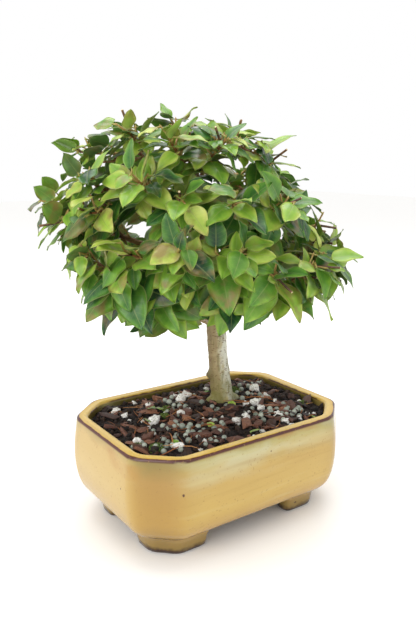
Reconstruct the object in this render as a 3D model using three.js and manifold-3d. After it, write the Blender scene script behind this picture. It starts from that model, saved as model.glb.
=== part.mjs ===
// Bonsai tree in a pot: a small broad-leaved tree, trained with a slightly leaning trunk and a
// domed crown, standing in a glazed ceramic pot on four corner feet.
// Units are millimetres, +Z is up. The origin is on the table, at the middle of the whole plant's box.

import * as THREE from 'three';
import { mergeVertices } from 'three/addons/utils/BufferGeometryUtils.js';
import Module from 'manifold-3d';

const wasm = await Module();
wasm.setup();

// ---------------------------------------------------------------- driving dimensions

const GAP = 0.3; // clearance left between pieces that touch
const TOUCH = 0.001; // a shared volume below this, in cubic millimetres, is only a touch

// The pot is measured from its own middle, X along its long side.
const POT_HALF_LENGTH = 76;
const POT_HALF_WIDTH = 55;
const POT_HEIGHT = 65;
const CORNER_CUT_X = 21.2; // how far each clipped corner reaches along the long side
const CORNER_CUT_Y = 19.4; // and along the short side
const CORNER_ROUND = 9; // radius that softens each edge of the clipped corners
const FOOT_HEIGHT = 11.6;
const FOOT_INSET = 13.5; // the feet stand this far inside the rim's outline
const FOOT_WIDTH = 11;
const FLOOR_TOP = 15; // upper face of the pot's floor
const LONG_GAP_HALF = 31; // half of the opening between two feet, on the long sides
const SHORT_GAP_HALF = 16; // and on the short sides
const GAP_ROUND = 5; // radius of the upper corners of those openings
const DRAIN_RADIUS = 5.5;
const DRAIN_X = 28;

// The wall swells to its widest at two thirds of its height, then curls in over the feet.
// Each row is [height, how far outside the rim's outline].
const OUTER_WALL = [
  [FOOT_HEIGHT, -12.2], [12.8, -8.6], [14.6, -5.4], [17.5, -2.8], [21, -0.9], [26, 0.7], [32, 1.7],
  [40, 2.2], [48, 1.9], [55, 1.1], [61, 0.3], [63.9, 0], [POT_HEIGHT, -1.1],
];
const INNER_WALL = [
  [FLOOR_TOP, -22], [16.5, -16.5], [20, -11.5], [27, -8], [36, -5.8], [46, -5.3], [55, -6],
  [61, -6.8], [63.9, -6.8], [POT_HEIGHT, -5.8],
];

const SOIL_EDGE = 60; // height of the soil against the wall
const SOIL_RISE = 3; // how much higher it is in the middle
const SOIL_INSET = 6.8; // its edge lies this far inside the rim's outline
const SOIL_RINGS = [0.66, 0.33]; // its surface is drawn at these shares of the way out

// The tree stands off-centre. Its own frame is turned so that its widest spread runs along X.
const TREE_X = 20.5;
const TREE_Y = 13.9;
const TREE_TURN = THREE.MathUtils.degToRad(-35);

// The trunk's middle line, in the tree's frame, with its radius: [x, y, z, radius].
const TRUNK = [
  [1, 0, 38, 5], [0.6, 0, 50, 8.6], [0, 0, 58, 8.6], [-0.2, 0, 64, 7.2], [-1, 0, 72, 6.3],
  [-2.6, 0.4, 86, 5.9], [-3.9, 0.4, 100, 5.8], [-5.2, 0, 119, 5.4], [-6.8, -0.6, 132, 5],
  [-10.6, -0.4, 162, 4], [-15, 1, 192, 2.9], [-19.5, 2, 212, 2], [-22, 2, 224, 1.4],
];
const TRUNK_SIDES = 10;
const TRUNK_STEPS = 18;

// Surface roots: direction in degrees, reach along the soil and radius where they leave the trunk.
const ROOTS = [[20, 17, 3.6], [115, 15, 3.2], [205, 18, 3.8], [290, 16, 3.4]];
const ROOT_START_HEIGHT = 67; // a root leaves the trunk here, bends here and dives here
const ROOT_BEND_HEIGHT = 62;
const ROOT_END_HEIGHT = 53;
const ROOT_BEND = 0.55; // the bend's place, as a share of the reach
const ROOT_TAPER = 0.45; // the share of its radius that a root loses
const ROOT_SIDES = 6;
const ROOT_STEPS = 3;

// Limbs: the height where each leaves the trunk, a point that it bends through, its end and its radius.
const LIMBS = {
  low_left_front: { from: 114, via: [-30, -20, 130], to: [-58, -34, 146], radius: 2.7 },
  low_right_front: { from: 120, via: [13, -19, 138], to: [36, -36, 147], radius: 2.6 },
  low_left_back: { from: 123, via: [-28, 20, 136], to: [-56, 40, 147], radius: 2.5 },
  low_right_back: { from: 127, via: [14, 18, 140], to: [38, 34, 149], radius: 2.5 },
  front: { from: 131, via: [-14, -24, 150], to: [-22, -48, 158], radius: 2.4 },
  right: { from: 137, via: [24, -5, 149], to: [56, -4, 153], radius: 2.5 },
  left: { from: 143, via: [-46, 2, 163], to: [-86, 2, 176], radius: 2.5 },
  back: { from: 149, via: [-12, 25, 163], to: [-14, 50, 172], radius: 2.2 },
  mid_right_front: { from: 157, via: [3, -18, 176], to: [18, -36, 188], radius: 2.1 },
  mid_left_back: { from: 163, via: [-33, 16, 182], to: [-60, 30, 196], radius: 2 },
  mid_left_front: { from: 167, via: [-33, -18, 184], to: [-56, -32, 196], radius: 2 },
  mid_right_back: { from: 173, via: [4, 14, 189], to: [22, 28, 197], radius: 1.9 },
  high_front: { from: 187, via: [-19, -14, 203], to: [-24, -28, 214], radius: 1.6 },
  high_left: { from: 195, via: [-35, 2, 211], to: [-54, 2, 220], radius: 1.6 },
  high_right: { from: 201, via: [-7, -2, 215], to: [10, -2, 223], radius: 1.5 },
};
const LIMB_SIDES = 6;
const LIMB_STEPS = 4;
const LIMB_TIP_RADIUS = 1.2;

// Pruned stubs: the limb, how far along it, and the stub's end.
const STUBS = [
  ['left', 0.92, [-108, -6, 188]], ['left', 0.7, [-88, -22, 196]], ['high_left', 0.8, [-74, -6, 214]],
  ['high_right', 0.85, [9, -8, 238]], ['front', 0.86, [-14, -58, 166]],
  ['low_left_front', 0.7, [-90, -22, 164]], ['mid_right_back', 0.9, [30, 22, 214]],
];
const STUB_RADIUS = 1;

// Leafy shoots: the limb, how far along it, the twig's tip, the longest leaf and how many pairs.
const SHOOTS = [
  ['low_left_front', 1, [-78, -36, 164], 22, 3], ['low_left_front', 0.8, [-60, -58, 157], 27, 3],
  ['low_left_front', 0.5, [-42, -44, 148], 24, 3],
  ['low_right_front', 1, [50, -38, 158], 24, 3], ['low_right_front', 0.8, [26, -56, 156], 25, 3],
  ['low_right_front', 0.4, [0, -46, 150], 23, 3],
  ['low_left_back', 1, [-78, 48, 160], 22, 3], ['low_left_back', 0.8, [-48, 62, 156], 23, 3],
  ['low_right_back', 1, [56, 42, 158], 22, 3], ['low_right_back', 0.7, [30, 56, 154], 23, 3],
  ['front', 0.85, [-54, -60, 168], 26, 3], ['front', 0.92, [8, -60, 168], 23, 3],
  ['front', 1, [-24, -70, 172], 22, 3],
  ['right', 1, [68, 4, 162], 22, 3], ['right', 0.75, [60, -24, 160], 24, 3],
  ['right', 0.85, [58, 4, 180], 15, 3], ['right', 0.6, [50, 26, 164], 22, 3],
  ['left', 1, [-104, 4, 190], 20, 3], ['left', 0.85, [-94, -26, 182], 23, 3],
  ['left', 0.8, [-90, 32, 182], 22, 3], ['left', 0.6, [-86, 2, 158], 22, 3],
  ['back', 1, [-16, 70, 182], 21, 3], ['back', 0.8, [14, 58, 178], 22, 3],
  ['back', 0.75, [-44, 62, 180], 22, 3],
  ['mid_right_front', 1, [32, -44, 192], 22, 3], ['mid_right_front', 0.8, [2, -56, 194], 23, 3],
  ['mid_right_front', 0.6, [36, -20, 184], 21, 3],
  ['mid_left_back', 1, [-82, 34, 208], 20, 3], ['mid_left_back', 0.75, [-52, 50, 206], 21, 3],
  ['mid_left_front', 1, [-80, -38, 206], 21, 3], ['mid_left_front', 0.75, [-46, -54, 204], 23, 3],
  ['mid_left_front', 0.9, [-74, -54, 188], 23, 3], ['mid_left_front', 0.5, [-24, -58, 196], 23, 3],
  ['mid_right_back', 1, [36, 36, 200], 21, 3], ['mid_right_back', 0.75, [10, 48, 206], 20, 3],
  ['mid_right_back', 0.6, [36, 10, 198], 21, 3],
  ['high_front', 1, [-30, -44, 225], 21, 3], ['high_front', 0.7, [-2, -34, 224], 21, 3],
  ['high_left', 1, [-88, 0, 220], 17, 3], ['high_left', 0.85, [-60, 24, 230], 19, 3],
  ['high_left', 0.75, [-54, -26, 230], 21, 3],
  ['high_right', 1, [26, -8, 214], 21, 3], ['high_right', 0.7, [4, 14, 230], 19, 3],
  ['trunk', 1, [-32, -2, 238], 17, 2],
];
const TWIG_RADIUS = 1;
const TWIG_TIP_RADIUS = 0.6;
const TWIG_SIDES = 4;
const TWIG_STEPS = 4;
const ROOTED = 0.2; // a stalk starts this far from the twig's middle line
const TWIG_SAG = 0.06; // how far a twig hangs below the straight line, as a share of its length
const FIRST_PAIR = 0.38; // where the first and last pairs of leaves sit along the twig
const LAST_PAIR = 0.985;
const PAIR_SIZES = [0.86, 1, 0.9]; // the leaves of each pair, as shares of the longest
const TIP_PAIR_SIZE = 0.74; // and those of the pair at the twig's end
const STALK_ROOM = 1.9; // stalks may meet within this many radii of the twig's middle line

// What is tried, in turn, until a leaf meets nothing: its size, how far it is lifted or let down,
// and how far it is turned round the twig, in radians.
const LEAF_SIZES = [1, 0.88, 0.76];
const LEAF_LEANS = [0, 0.25, -0.25];
const LEAF_TURNS = [0, 0.2, -0.2, 0.4, -0.4, 0.6, -0.6];

// One leaf of unit length: X from the stalk's end to the tip, Z out of the upper face. The blade
// narrows into its stalk, is folded up along its midrib, and turns its tip down.
const LEAF = {
  stalk: [-0.16, 0, 0],
  shoulder: [0.17, 0.25, 0.07],
  waist: [0.54, 0.31, 0.06],
  tip: [1, 0, -0.06],
  top: [0.42, 0, 0.025],
  under: [0.42, 0, -0.04],
};

const CROWN_MIDDLE = new THREE.Vector3(-17, -3, 160); // leaves turn their faces away from here

// Loose pieces on the soil, at [x, y] in the pot's frame.
const CHIPS = [
  [-52, -12, 11, 5, 20], [-26, -30, 12, 4.5, 160], [-14, 4, 10, 5, 75],
  [12, -34, 9, 5, 35], [44, -18, 11, 4.5, 120], [-34, 22, 10, 5, 100],
]; // x, y, length, width, turn in degrees
const CHIP_THICKNESS = 2.2;
const PERLITE = [[-40, 2, 3.6], [-6, 24, 3.2], [30, -8, 3], [48, 14, 3.4]]; // x, y, radius
const MOSS = [34, 22, 6.5, 2.4]; // x, y, radius, height
const SCREEN_SIDE = 22;
const SCREEN_THICKNESS = 1.2;
const SCREEN_CELLS = 3;
const SCREEN_BAR = 1.2;

// ---------------------------------------------------------------- materials

function finish(colour, roughness) {
  return new THREE.MeshStandardMaterial({ color: colour, roughness, metalness: 0 });
}

const glaze = finish(0xd8b468, 0.25);
const soilMix = finish(0x3a2a22, 0.95);
const bark = finish(0xb5a78c, 0.8);
const leafGreens = [0x5a8c36, 0x4c7d3c, 0x6f9a3a, 0x3f6e3e].map((colour) => finish(colour, 0.4));
const chipBrown = finish(0x7a4a34, 0.85);
const perliteWhite = finish(0xf2f0ea, 0.9);
const mossGreen = finish(0x4f6b2c, 0.95);
const screenBlack = finish(0x26282a, 0.6);

// ---------------------------------------------------------------- geometry helpers

/** Seeded random numbers, so that the plant is the same each time. */
function seeded(seed) {
  let state = seed;
  return () => {
    state = (state + 0x6d2b79f5) | 0;
    let t = Math.imul(state ^ (state >>> 15), 1 | state);
    t = (t + Math.imul(t ^ (t >>> 7), 61 | t)) ^ t;
    return ((t ^ (t >>> 14)) >>> 0) / 4294967296;
  };
}

/** A closed solid from a closed geometry. */
function solidOf(geometry) {
  const bare = geometry.clone();
  bare.deleteAttribute('normal');
  bare.deleteAttribute('uv');
  const merged = mergeVertices(bare, 1e-4);
  return new wasm.Manifold(new wasm.Mesh({
    numProp: 3,
    vertProperties: new Float32Array(merged.attributes.position.array),
    triVerts: new Uint32Array(merged.index.array),
  }));
}

/** The geometry of a solid. */
function geometryOf(solid) {
  const mesh = solid.getMesh();
  const geometry = new THREE.BufferGeometry();
  geometry.setAttribute('position', new THREE.BufferAttribute(new Float32Array(mesh.vertProperties), 3));
  geometry.setIndex(new THREE.BufferAttribute(new Uint32Array(mesh.triVerts), 1));
  geometry.computeVertexNormals();
  return geometry;
}

/** A closed geometry from points and triangles. */
function geometryFrom(points, triangles) {
  const geometry = new THREE.BufferGeometry().setFromPoints(points);
  geometry.setIndex(triangles);
  return geometry;
}

/** A closed skin over rings that have the same number of points, each seen anticlockwise from its far side. */
function loft(rings) {
  const count = rings[0].length;
  const points = rings.flat();
  const triangles = [];
  for (let r = 0; r + 1 < rings.length; r += 1) {
    for (let i = 0; i < count; i += 1) {
      const a = r * count + i;
      const b = r * count + ((i + 1) % count);
      triangles.push(a, b, b + count, a, b + count, a + count);
    }
  }
  const last = (rings.length - 1) * count;
  const middle = (ring) => ring.reduce((sum, p) => sum.add(p), new THREE.Vector3()).divideScalar(count);
  points.push(middle(rings[0]), middle(rings[rings.length - 1]));
  for (let i = 0; i < count; i += 1) {
    const next = (i + 1) % count;
    triangles.push(points.length - 2, next, i);
    triangles.push(points.length - 1, last + i, last + next);
  }
  return geometryFrom(points, triangles);
}

/** A round bar along a curve, its radius given by radiusAt(share of the length). */
function taperedBar(curve, radiusAt, sides, steps) {
  const frames = curve.computeFrenetFrames(steps, false);
  const rings = [];
  for (let s = 0; s <= steps; s += 1) {
    const along = s / steps;
    const centre = curve.getPointAt(along);
    const ring = [];
    for (let i = 0; i < sides; i += 1) {
      const angle = (i / sides) * 2 * Math.PI;
      const out = frames.normals[s].clone().multiplyScalar(Math.cos(angle));
      out.addScaledVector(frames.binormals[s], Math.sin(angle));
      ring.push(centre.clone().addScaledVector(out, radiusAt(along)));
    }
    rings.push(ring);
  }
  return loft(rings);
}

function vector([x, y, z]) {
  return new THREE.Vector3(x, y, z);
}

// ---------------------------------------------------------------- pot

/** The pot's clipped-corner outline at a height, moved outwards by offset. */
function potOutline(offset, z) {
  const a = POT_HALF_LENGTH + offset;
  const b = POT_HALF_WIDTH + offset;
  const clip = Math.hypot(CORNER_CUT_X, CORNER_CUT_Y);
  const growth = (CORNER_CUT_X + CORNER_CUT_Y - clip) / (CORNER_CUT_X * CORNER_CUT_Y);
  const cutX = CORNER_CUT_X * (1 + offset * growth);
  const cutY = CORNER_CUT_Y * (1 + offset * growth);
  const corners = [
    [a, -b + cutY], [a, b - cutY], [a - cutX, b], [-a + cutX, b],
    [-a, b - cutY], [-a, -b + cutY], [-a + cutX, -b], [a - cutX, -b],
  ].map(([x, y]) => new THREE.Vector3(x, y, z));
  const ring = [];
  corners.forEach((corner, i) => {
    const before = corners[(i + 7) % 8];
    const after = corners[(i + 1) % 8];
    const reach = CORNER_ROUND * Math.tan(Math.PI / 8);
    const start = corner.clone().addScaledVector(before.clone().sub(corner).normalize(), reach);
    const end = corner.clone().addScaledVector(after.clone().sub(corner).normalize(), reach);
    ring.push(...new THREE.QuadraticBezierCurve3(start, corner, end).getPoints(2));
  });
  return ring;
}

/** An opening between two feet: a round-cornered tunnel through the whole pot, along Y before turning. */
function footTunnel(halfWidth, turn) {
  const outline = new THREE.Shape();
  outline.moveTo(-halfWidth - 1, -1);
  outline.lineTo(halfWidth + 1, -1);
  outline.lineTo(halfWidth, FOOT_HEIGHT - GAP_ROUND);
  outline.quadraticCurveTo(halfWidth, FOOT_HEIGHT, halfWidth - GAP_ROUND, FOOT_HEIGHT);
  outline.lineTo(-halfWidth + GAP_ROUND, FOOT_HEIGHT);
  outline.quadraticCurveTo(-halfWidth, FOOT_HEIGHT, -halfWidth, FOOT_HEIGHT - GAP_ROUND);
  const length = 2 * POT_HALF_LENGTH + 20;
  const tunnel = new THREE.ExtrudeGeometry(outline, { depth: length, bevelEnabled: false, curveSegments: 3 });
  tunnel.translate(0, 0, -length / 2);
  tunnel.rotateX(Math.PI / 2);
  tunnel.rotateZ(turn);
  return solidOf(tunnel);
}

function cylinderUp(radius, x, y, bottom, top) {
  const cylinder = new THREE.CylinderGeometry(radius, radius, top - bottom, 20);
  cylinder.rotateX(Math.PI / 2);
  cylinder.translate(x, y, (bottom + top) / 2);
  return solidOf(cylinder);
}

function makePot() {
  const shell = solidOf(loft(OUTER_WALL.map(([z, offset]) => potOutline(offset, z))));
  const hollowRings = INNER_WALL.map(([z, offset]) => potOutline(offset, z));
  hollowRings.push(potOutline(-4, POT_HEIGHT + 2));
  const hollow = solidOf(loft(hollowRings));
  const ring = solidOf(loft([
    potOutline(-FOOT_INSET, 0), potOutline(-FOOT_INSET + 1.2, FOOT_HEIGHT + 2),
  ]));
  const inside = solidOf(loft([
    potOutline(-FOOT_INSET - FOOT_WIDTH, -1), potOutline(-FOOT_INSET - FOOT_WIDTH - 1, FOOT_HEIGHT),
  ]));
  const feet = ring.subtract(inside)
    .subtract(footTunnel(LONG_GAP_HALF, 0))
    .subtract(footTunnel(SHORT_GAP_HALF, Math.PI / 2));
  let pot = shell.add(feet).subtract(hollow);
  for (const x of [-DRAIN_X, DRAIN_X]) {
    pot = pot.subtract(cylinderUp(DRAIN_RADIUS, x, 0, FOOT_HEIGHT - 1, FLOOR_TOP + 1));
  }
  return geometryOf(pot);
}

/** Plastic netting laid over a drainage hole: bars both ways, joined where they cross. */
function makeScreen() {
  const pitch = (SCREEN_SIDE - SCREEN_BAR) / SCREEN_CELLS;
  const barsAcross = [];
  for (let i = 0; i <= SCREEN_CELLS; i += 1) {
    const bar = new THREE.BoxGeometry(SCREEN_SIDE, SCREEN_BAR, SCREEN_THICKNESS);
    bar.translate(0, (i - SCREEN_CELLS / 2) * pitch, SCREEN_THICKNESS / 2);
    barsAcross.push(solidOf(bar), solidOf(bar.clone().rotateZ(Math.PI / 2)));
  }
  return geometryOf(barsAcross.reduce((net, bar) => net.add(bar)));
}

// ---------------------------------------------------------------- wood

const trunkCurve = new THREE.CatmullRomCurve3(TRUNK.map(([x, y, z]) => new THREE.Vector3(x, y, z)));

/** The trunk's middle and radius at a height. */
function trunkAt(z) {
  let i = 0;
  while (i + 2 < TRUNK.length && TRUNK[i + 1][2] < z) {
    i += 1;
  }
  const share = (z - TRUNK[i][2]) / (TRUNK[i + 1][2] - TRUNK[i][2]);
  const mix = TRUNK[i].map((value, k) => value + share * (TRUNK[i + 1][k] - value));
  return { centre: new THREE.Vector3(mix[0], mix[1], z), radius: mix[3] };
}

/** The trunk with its surface roots, all grown outwards by extra. */
function trunkSolid(extra) {
  const radiusAt = (along) => trunkAt(trunkCurve.getPointAt(along).z).radius + extra;
  let solid = solidOf(taperedBar(trunkCurve, radiusAt, TRUNK_SIDES, TRUNK_STEPS));
  for (const [degrees, reach, radius] of ROOTS) {
    const angle = THREE.MathUtils.degToRad(degrees);
    const out = new THREE.Vector3(Math.cos(angle), Math.sin(angle), 0);
    const route = new THREE.QuadraticBezierCurve3(
      new THREE.Vector3(0, 0, ROOT_START_HEIGHT),
      out.clone().multiplyScalar(reach * ROOT_BEND).setZ(ROOT_BEND_HEIGHT),
      out.clone().multiplyScalar(reach).setZ(ROOT_END_HEIGHT),
    );
    const rootRadius = (along) => radius * (1 - ROOT_TAPER * along) + extra;
    solid = solid.add(solidOf(taperedBar(route, rootRadius, ROOT_SIDES, ROOT_STEPS)));
  }
  return solid;
}

/** A limb's middle line, from inside the trunk to its end. */
function limbCurve(limb) {
  return new THREE.QuadraticBezierCurve3(
    trunkAt(limb.from).centre,
    vector(limb.via).multiplyScalar(2)
      .addScaledVector(trunkAt(limb.from).centre, -0.5)
      .addScaledVector(vector(limb.to), -0.5),
    vector(limb.to),
  );
}

/** Where a limb is, and how thick, at a share of its length. */
function limbAt(name, along) {
  if (name === 'trunk') {
    return { centre: vector(TRUNK[TRUNK.length - 1]), radius: TRUNK[TRUNK.length - 1][3] };
  }
  const limb = LIMBS[name];
  const radius = limb.radius + along * (LIMB_TIP_RADIUS - limb.radius);
  return { centre: limbCurve(limb).getPointAt(along), radius };
}

function woodSolid(extra) {
  let solid = trunkSolid(extra);
  for (const limb of Object.values(LIMBS)) {
    const radiusAt = (along) => limb.radius + along * (LIMB_TIP_RADIUS - limb.radius) + extra;
    solid = solid.add(solidOf(taperedBar(limbCurve(limb), radiusAt, LIMB_SIDES, LIMB_STEPS)));
  }
  for (const [name, along, end] of STUBS) {
    const stub = new THREE.LineCurve3(limbAt(name, along).centre, vector(end));
    solid = solid.add(solidOf(taperedBar(stub, () => STUB_RADIUS + extra, TWIG_SIDES, 1)));
  }
  return solid;
}

// ---------------------------------------------------------------- leafy shoots

/** The unit leaf as a closed geometry: a fan over the outline on each side of the blade. */
function unitLeaf(puff) {
  const mirror = ([x, y, z]) => [x, -y, z];
  const lift = ([x, y, z], dz) => [x, y, z + dz];
  const widen = ([x, y, z]) => [x * (1 + puff), y * (1 + 3 * puff), z];
  const outline = [LEAF.stalk, LEAF.shoulder, LEAF.waist, LEAF.tip, mirror(LEAF.waist), mirror(LEAF.shoulder)];
  const points = [...outline, lift(LEAF.top, puff), lift(LEAF.under, -puff)].map(widen).map(vector);
  const triangles = [];
  outline.forEach((_, i) => {
    const next = (i + 1) % outline.length;
    triangles.push(outline.length, next, i, outline.length + 1, i, next);
  });
  return geometryFrom(points, triangles);
}

const leafGeometry = unitLeaf(0);
const roomyLeafGeometry = unitLeaf(0.03);

/** The placement of a leaf whose stalk starts at a point. */
function leafMatrix(start, axis, face, length) {
  const x = axis.clone().normalize();
  const z = face.clone().addScaledVector(x, -face.dot(x)).normalize();
  const y = new THREE.Vector3().crossVectors(z, x);
  const matrix = new THREE.Matrix4().makeBasis(x, y, z).scale(new THREE.Vector3(length, length, length));
  return matrix.setPosition(start.clone().addScaledVector(x, ROOTED - LEAF.stalk[0] * length));
}

function boxesMeet(a, b) {
  return [0, 1, 2].every((k) => a.min[k] <= b.max[k] && b.min[k] <= a.max[k]);
}

/** Everything already in place, which a new leaf must stay clear of. */
const placed = [];

function remember(solid) {
  placed.push({ solid, box: solid.boundingBox() });
}

function isClear(solid) {
  const box = solid.boundingBox();
  return placed.every((other) => !boxesMeet(box, other.box)
    || other.solid.intersect(solid).volume() < TOUCH);
}

/** The space round a node of the twig, where stalks join and may meet. */
function stalkRoom(start) {
  const ball = new THREE.IcosahedronGeometry(TWIG_RADIUS * STALK_ROOM, 0);
  return solidOf(ball.translate(start.x, start.y, start.z));
}

/** A leaf that meets nothing: it is turned and shortened in small steps until it fits, or left out. */
function placeLeaf(start, axis, face, length, stem) {
  for (const size of LEAF_SIZES) {
    for (const lean of LEAF_LEANS) {
      for (const turn of LEAF_TURNS) {
        const turned = axis.clone().applyAxisAngle(stem, turn);
        turned.z += lean;
        const matrix = leafMatrix(start, turned, face, length * size);
        const roomy = solidOf(roomyLeafGeometry.clone().applyMatrix4(matrix)).subtract(stalkRoom(start));
        if (isClear(roomy)) {
          remember(roomy);
          return solidOf(leafGeometry.clone().applyMatrix4(matrix));
        }
      }
    }
  }
  return null;
}

/** One twig of a shoot, cut clear of the limb that it grows from. */
function makeTwig([limbName, along, tip], woodRoom) {
  const { centre } = limbAt(limbName, along);
  const end = vector(tip);
  const sag = TWIG_SAG * centre.distanceTo(end);
  const arch = centre.clone().lerp(end, 0.5).add(new THREE.Vector3(0, 0, -sag));
  const route = new THREE.QuadraticBezierCurve3(centre, arch, end);
  const cut = (extra) => {
    const radiusAt = (share) => TWIG_RADIUS + share * (TWIG_TIP_RADIUS - TWIG_RADIUS) + extra;
    const bar = solidOf(taperedBar(route, radiusAt, TWIG_SIDES, TWIG_STEPS)).subtract(woodRoom);
    return bar.decompose().sort((a, b) => b.volume() - a.volume())[0];
  };
  const solid = cut(0);
  if (!isClear(solid)) {
    console.warn(`the twig on ${limbName} at ${along} meets another piece`);
  }
  remember(cut(GAP));
  return { solid, route };
}

/** The pairs of leaves along a twig, each a solid that meets nothing else. */
function makeLeaves(route, longest, pairs, random) {
  const leaves = [];
  for (let k = 0; k <= pairs; k += 1) {
    const share = FIRST_PAIR + (LAST_PAIR - FIRST_PAIR) * (k / pairs);
    const start = route.getPointAt(share);
    const stem = route.getTangentAt(share);
    const atTip = k === pairs;
    const across = new THREE.Vector3().crossVectors(stem, new THREE.Vector3(0, 0, 1)).normalize();
    across.applyAxisAngle(stem, (k % 2 ? 0.9 : -0.15) + 0.7 * (random() - 0.5));
    const size = longest * (atTip ? TIP_PAIR_SIZE : PAIR_SIZES[k]) * (0.9 + 0.2 * random());
    const outward = start.clone().sub(CROWN_MIDDLE).normalize();
    for (const side of [-1, 1]) {
      const axis = across.clone().multiplyScalar(side * (atTip ? 0.6 : 0.9));
      axis.addScaledVector(stem, atTip ? 0.7 : 0.3).addScaledVector(outward, 0.15);
      axis.z -= 0.5 + 0.4 * random() - 0.5 * outward.z;
      const face = outward.clone().multiplyScalar(0.85);
      face.add(new THREE.Vector3(0.6 * (random() - 0.5), 0.6 * (random() - 0.5), 0.45 + 0.3 * random()));
      const leaf = placeLeaf(start, axis.normalize(), face, size, stem);
      if (leaf) {
        leaves.push(leaf);
      }
    }
  }
  return leaves;
}

// ---------------------------------------------------------------- soil and what lies on it

/** The soil's height at a place in the pot's frame. */
function soilLevel(x, y) {
  const a = POT_HALF_LENGTH - SOIL_INSET;
  const b = POT_HALF_WIDTH - SOIL_INSET;
  const across = CORNER_CUT_Y * Math.abs(x) + CORNER_CUT_X * Math.abs(y);
  const clip = CORNER_CUT_Y * a + CORNER_CUT_X * b - CORNER_CUT_X * CORNER_CUT_Y;
  const reach = Math.max(Math.abs(x) / a, Math.abs(y) / b, across / clip);
  return SOIL_EDGE + SOIL_RISE * (1 - Math.min(1, reach) ** 2);
}

function makeSoil(trunkRoom, screens) {
  const rings = INNER_WALL.filter(([z]) => z < SOIL_EDGE)
    .map(([z, offset]) => potOutline(offset - GAP, z === FLOOR_TOP ? z + GAP : z));
  rings.push(potOutline(-SOIL_INSET - GAP, SOIL_EDGE));
  for (const share of SOIL_RINGS) {
    rings.push(potOutline(-SOIL_INSET - GAP, 0).map((p) => {
      const x = p.x * share;
      const y = p.y * share;
      return new THREE.Vector3(x, y, SOIL_EDGE + SOIL_RISE * (1 - share ** 2));
    }));
  }
  let soil = solidOf(loft(rings)).subtract(trunkRoom);
  for (const screen of screens) {
    soil = soil.subtract(screen);
  }
  return geometryOf(soil);
}

/** Moves a loose piece down until it lies just clear of the soil. */
function layOnSoil(geometry, x, y) {
  geometry.translate(x, y, 0);
  const position = geometry.attributes.position;
  let lift = -Infinity;
  for (let i = 0; i < position.count; i += 1) {
    lift = Math.max(lift, soilLevel(position.getX(i), position.getY(i)) - position.getZ(i));
  }
  geometry.translate(0, 0, lift + GAP);
  return geometry;
}

/** A split flake of bark: an uneven, slightly tilted six-sided plate. */
function makeChip([x, y, length, width, degrees], random) {
  const outline = new THREE.Shape();
  const corners = [[-0.5, -0.2], [-0.2, -0.5], [0.35, -0.42], [0.5, 0.1], [0.15, 0.5], [-0.4, 0.4]];
  corners.forEach(([u, v], i) => {
    const px = length * (u + 0.12 * (random() - 0.5));
    const py = width * (v + 0.2 * (random() - 0.5));
    outline[i ? 'lineTo' : 'moveTo'](px, py);
  });
  const flake = new THREE.ExtrudeGeometry(outline, { depth: CHIP_THICKNESS, bevelEnabled: false });
  flake.rotateX(0.16 * (random() - 0.5));
  flake.rotateY(0.2 * (random() - 0.5));
  flake.rotateZ(THREE.MathUtils.degToRad(degrees));
  return layOnSoil(flake, x, y);
}

/** A puffed lump: a round stone shape with each corner moved in or out. */
function makeLump(x, y, radius, height, random) {
  const ball = new THREE.IcosahedronGeometry(1, 0);
  ball.deleteAttribute('normal');
  ball.deleteAttribute('uv');
  const lump = mergeVertices(ball);
  const position = lump.attributes.position;
  for (let i = 0; i < position.count; i += 1) {
    const grow = 0.85 + 0.3 * random();
    position.setXYZ(
      i, position.getX(i) * grow * radius, position.getY(i) * grow * radius, position.getZ(i) * grow * height,
    );
  }
  return layOnSoil(lump, x, y);
}

// ---------------------------------------------------------------- assembly

const plant = new THREE.Group();
const potFrame = new THREE.Group();
plant.add(potFrame);
const treeFrame = new THREE.Group();
treeFrame.position.set(TREE_X, TREE_Y, 0);
treeFrame.rotation.z = TREE_TURN;
potFrame.add(treeFrame);
plant.updateMatrixWorld(true);

function addPiece(parent, name, geometry, material) {
  const mesh = new THREE.Mesh(geometry, material);
  mesh.name = name;
  parent.add(mesh);
  return mesh;
}

addPiece(potFrame, 'pot', makePot(), glaze);

const screenRooms = [];
for (const [side, x] of [['left', -DRAIN_X], ['right', DRAIN_X]]) {
  const screen = addPiece(potFrame, `drain_screen_${side}`, makeScreen(), screenBlack);
  screen.position.set(x, 0, FLOOR_TOP + GAP);
  const room = new THREE.BoxGeometry(SCREEN_SIDE + 2 * GAP, SCREEN_SIDE + 2 * GAP, SCREEN_THICKNESS + 4 * GAP);
  screenRooms.push(solidOf(room.translate(x, 0, FLOOR_TOP + GAP + SCREEN_THICKNESS / 2)));
}

const trunkRoom = solidOf(geometryOf(trunkSolid(GAP)).applyMatrix4(treeFrame.matrix));
addPiece(potFrame, 'soil', makeSoil(trunkRoom, screenRooms), soilMix);

const wood = woodSolid(0);
addPiece(treeFrame, 'trunk_and_limbs', geometryOf(wood), bark);

const woodRoom = woodSolid(GAP);
remember(woodRoom);
const twigs = SHOOTS.map((row) => makeTwig(row, woodRoom));
const random = seeded(41);
const shootsOnLimb = {};
let leafCount = 0;
SHOOTS.forEach(([limbName, , , longest, pairs], i) => {
  shootsOnLimb[limbName] = (shootsOnLimb[limbName] ?? 0) + 1;
  const leaves = makeLeaves(twigs[i].route, longest, pairs, random);
  leafCount += leaves.length;
  const shoot = leaves.reduce((solid, leaf) => solid.add(leaf), twigs[i].solid);
  const name = `shoot_${limbName}_${shootsOnLimb[limbName]}`;
  addPiece(treeFrame, name, geometryOf(shoot), leafGreens[i % leafGreens.length]);
});
console.log(`${leafCount} leaves`);

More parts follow.
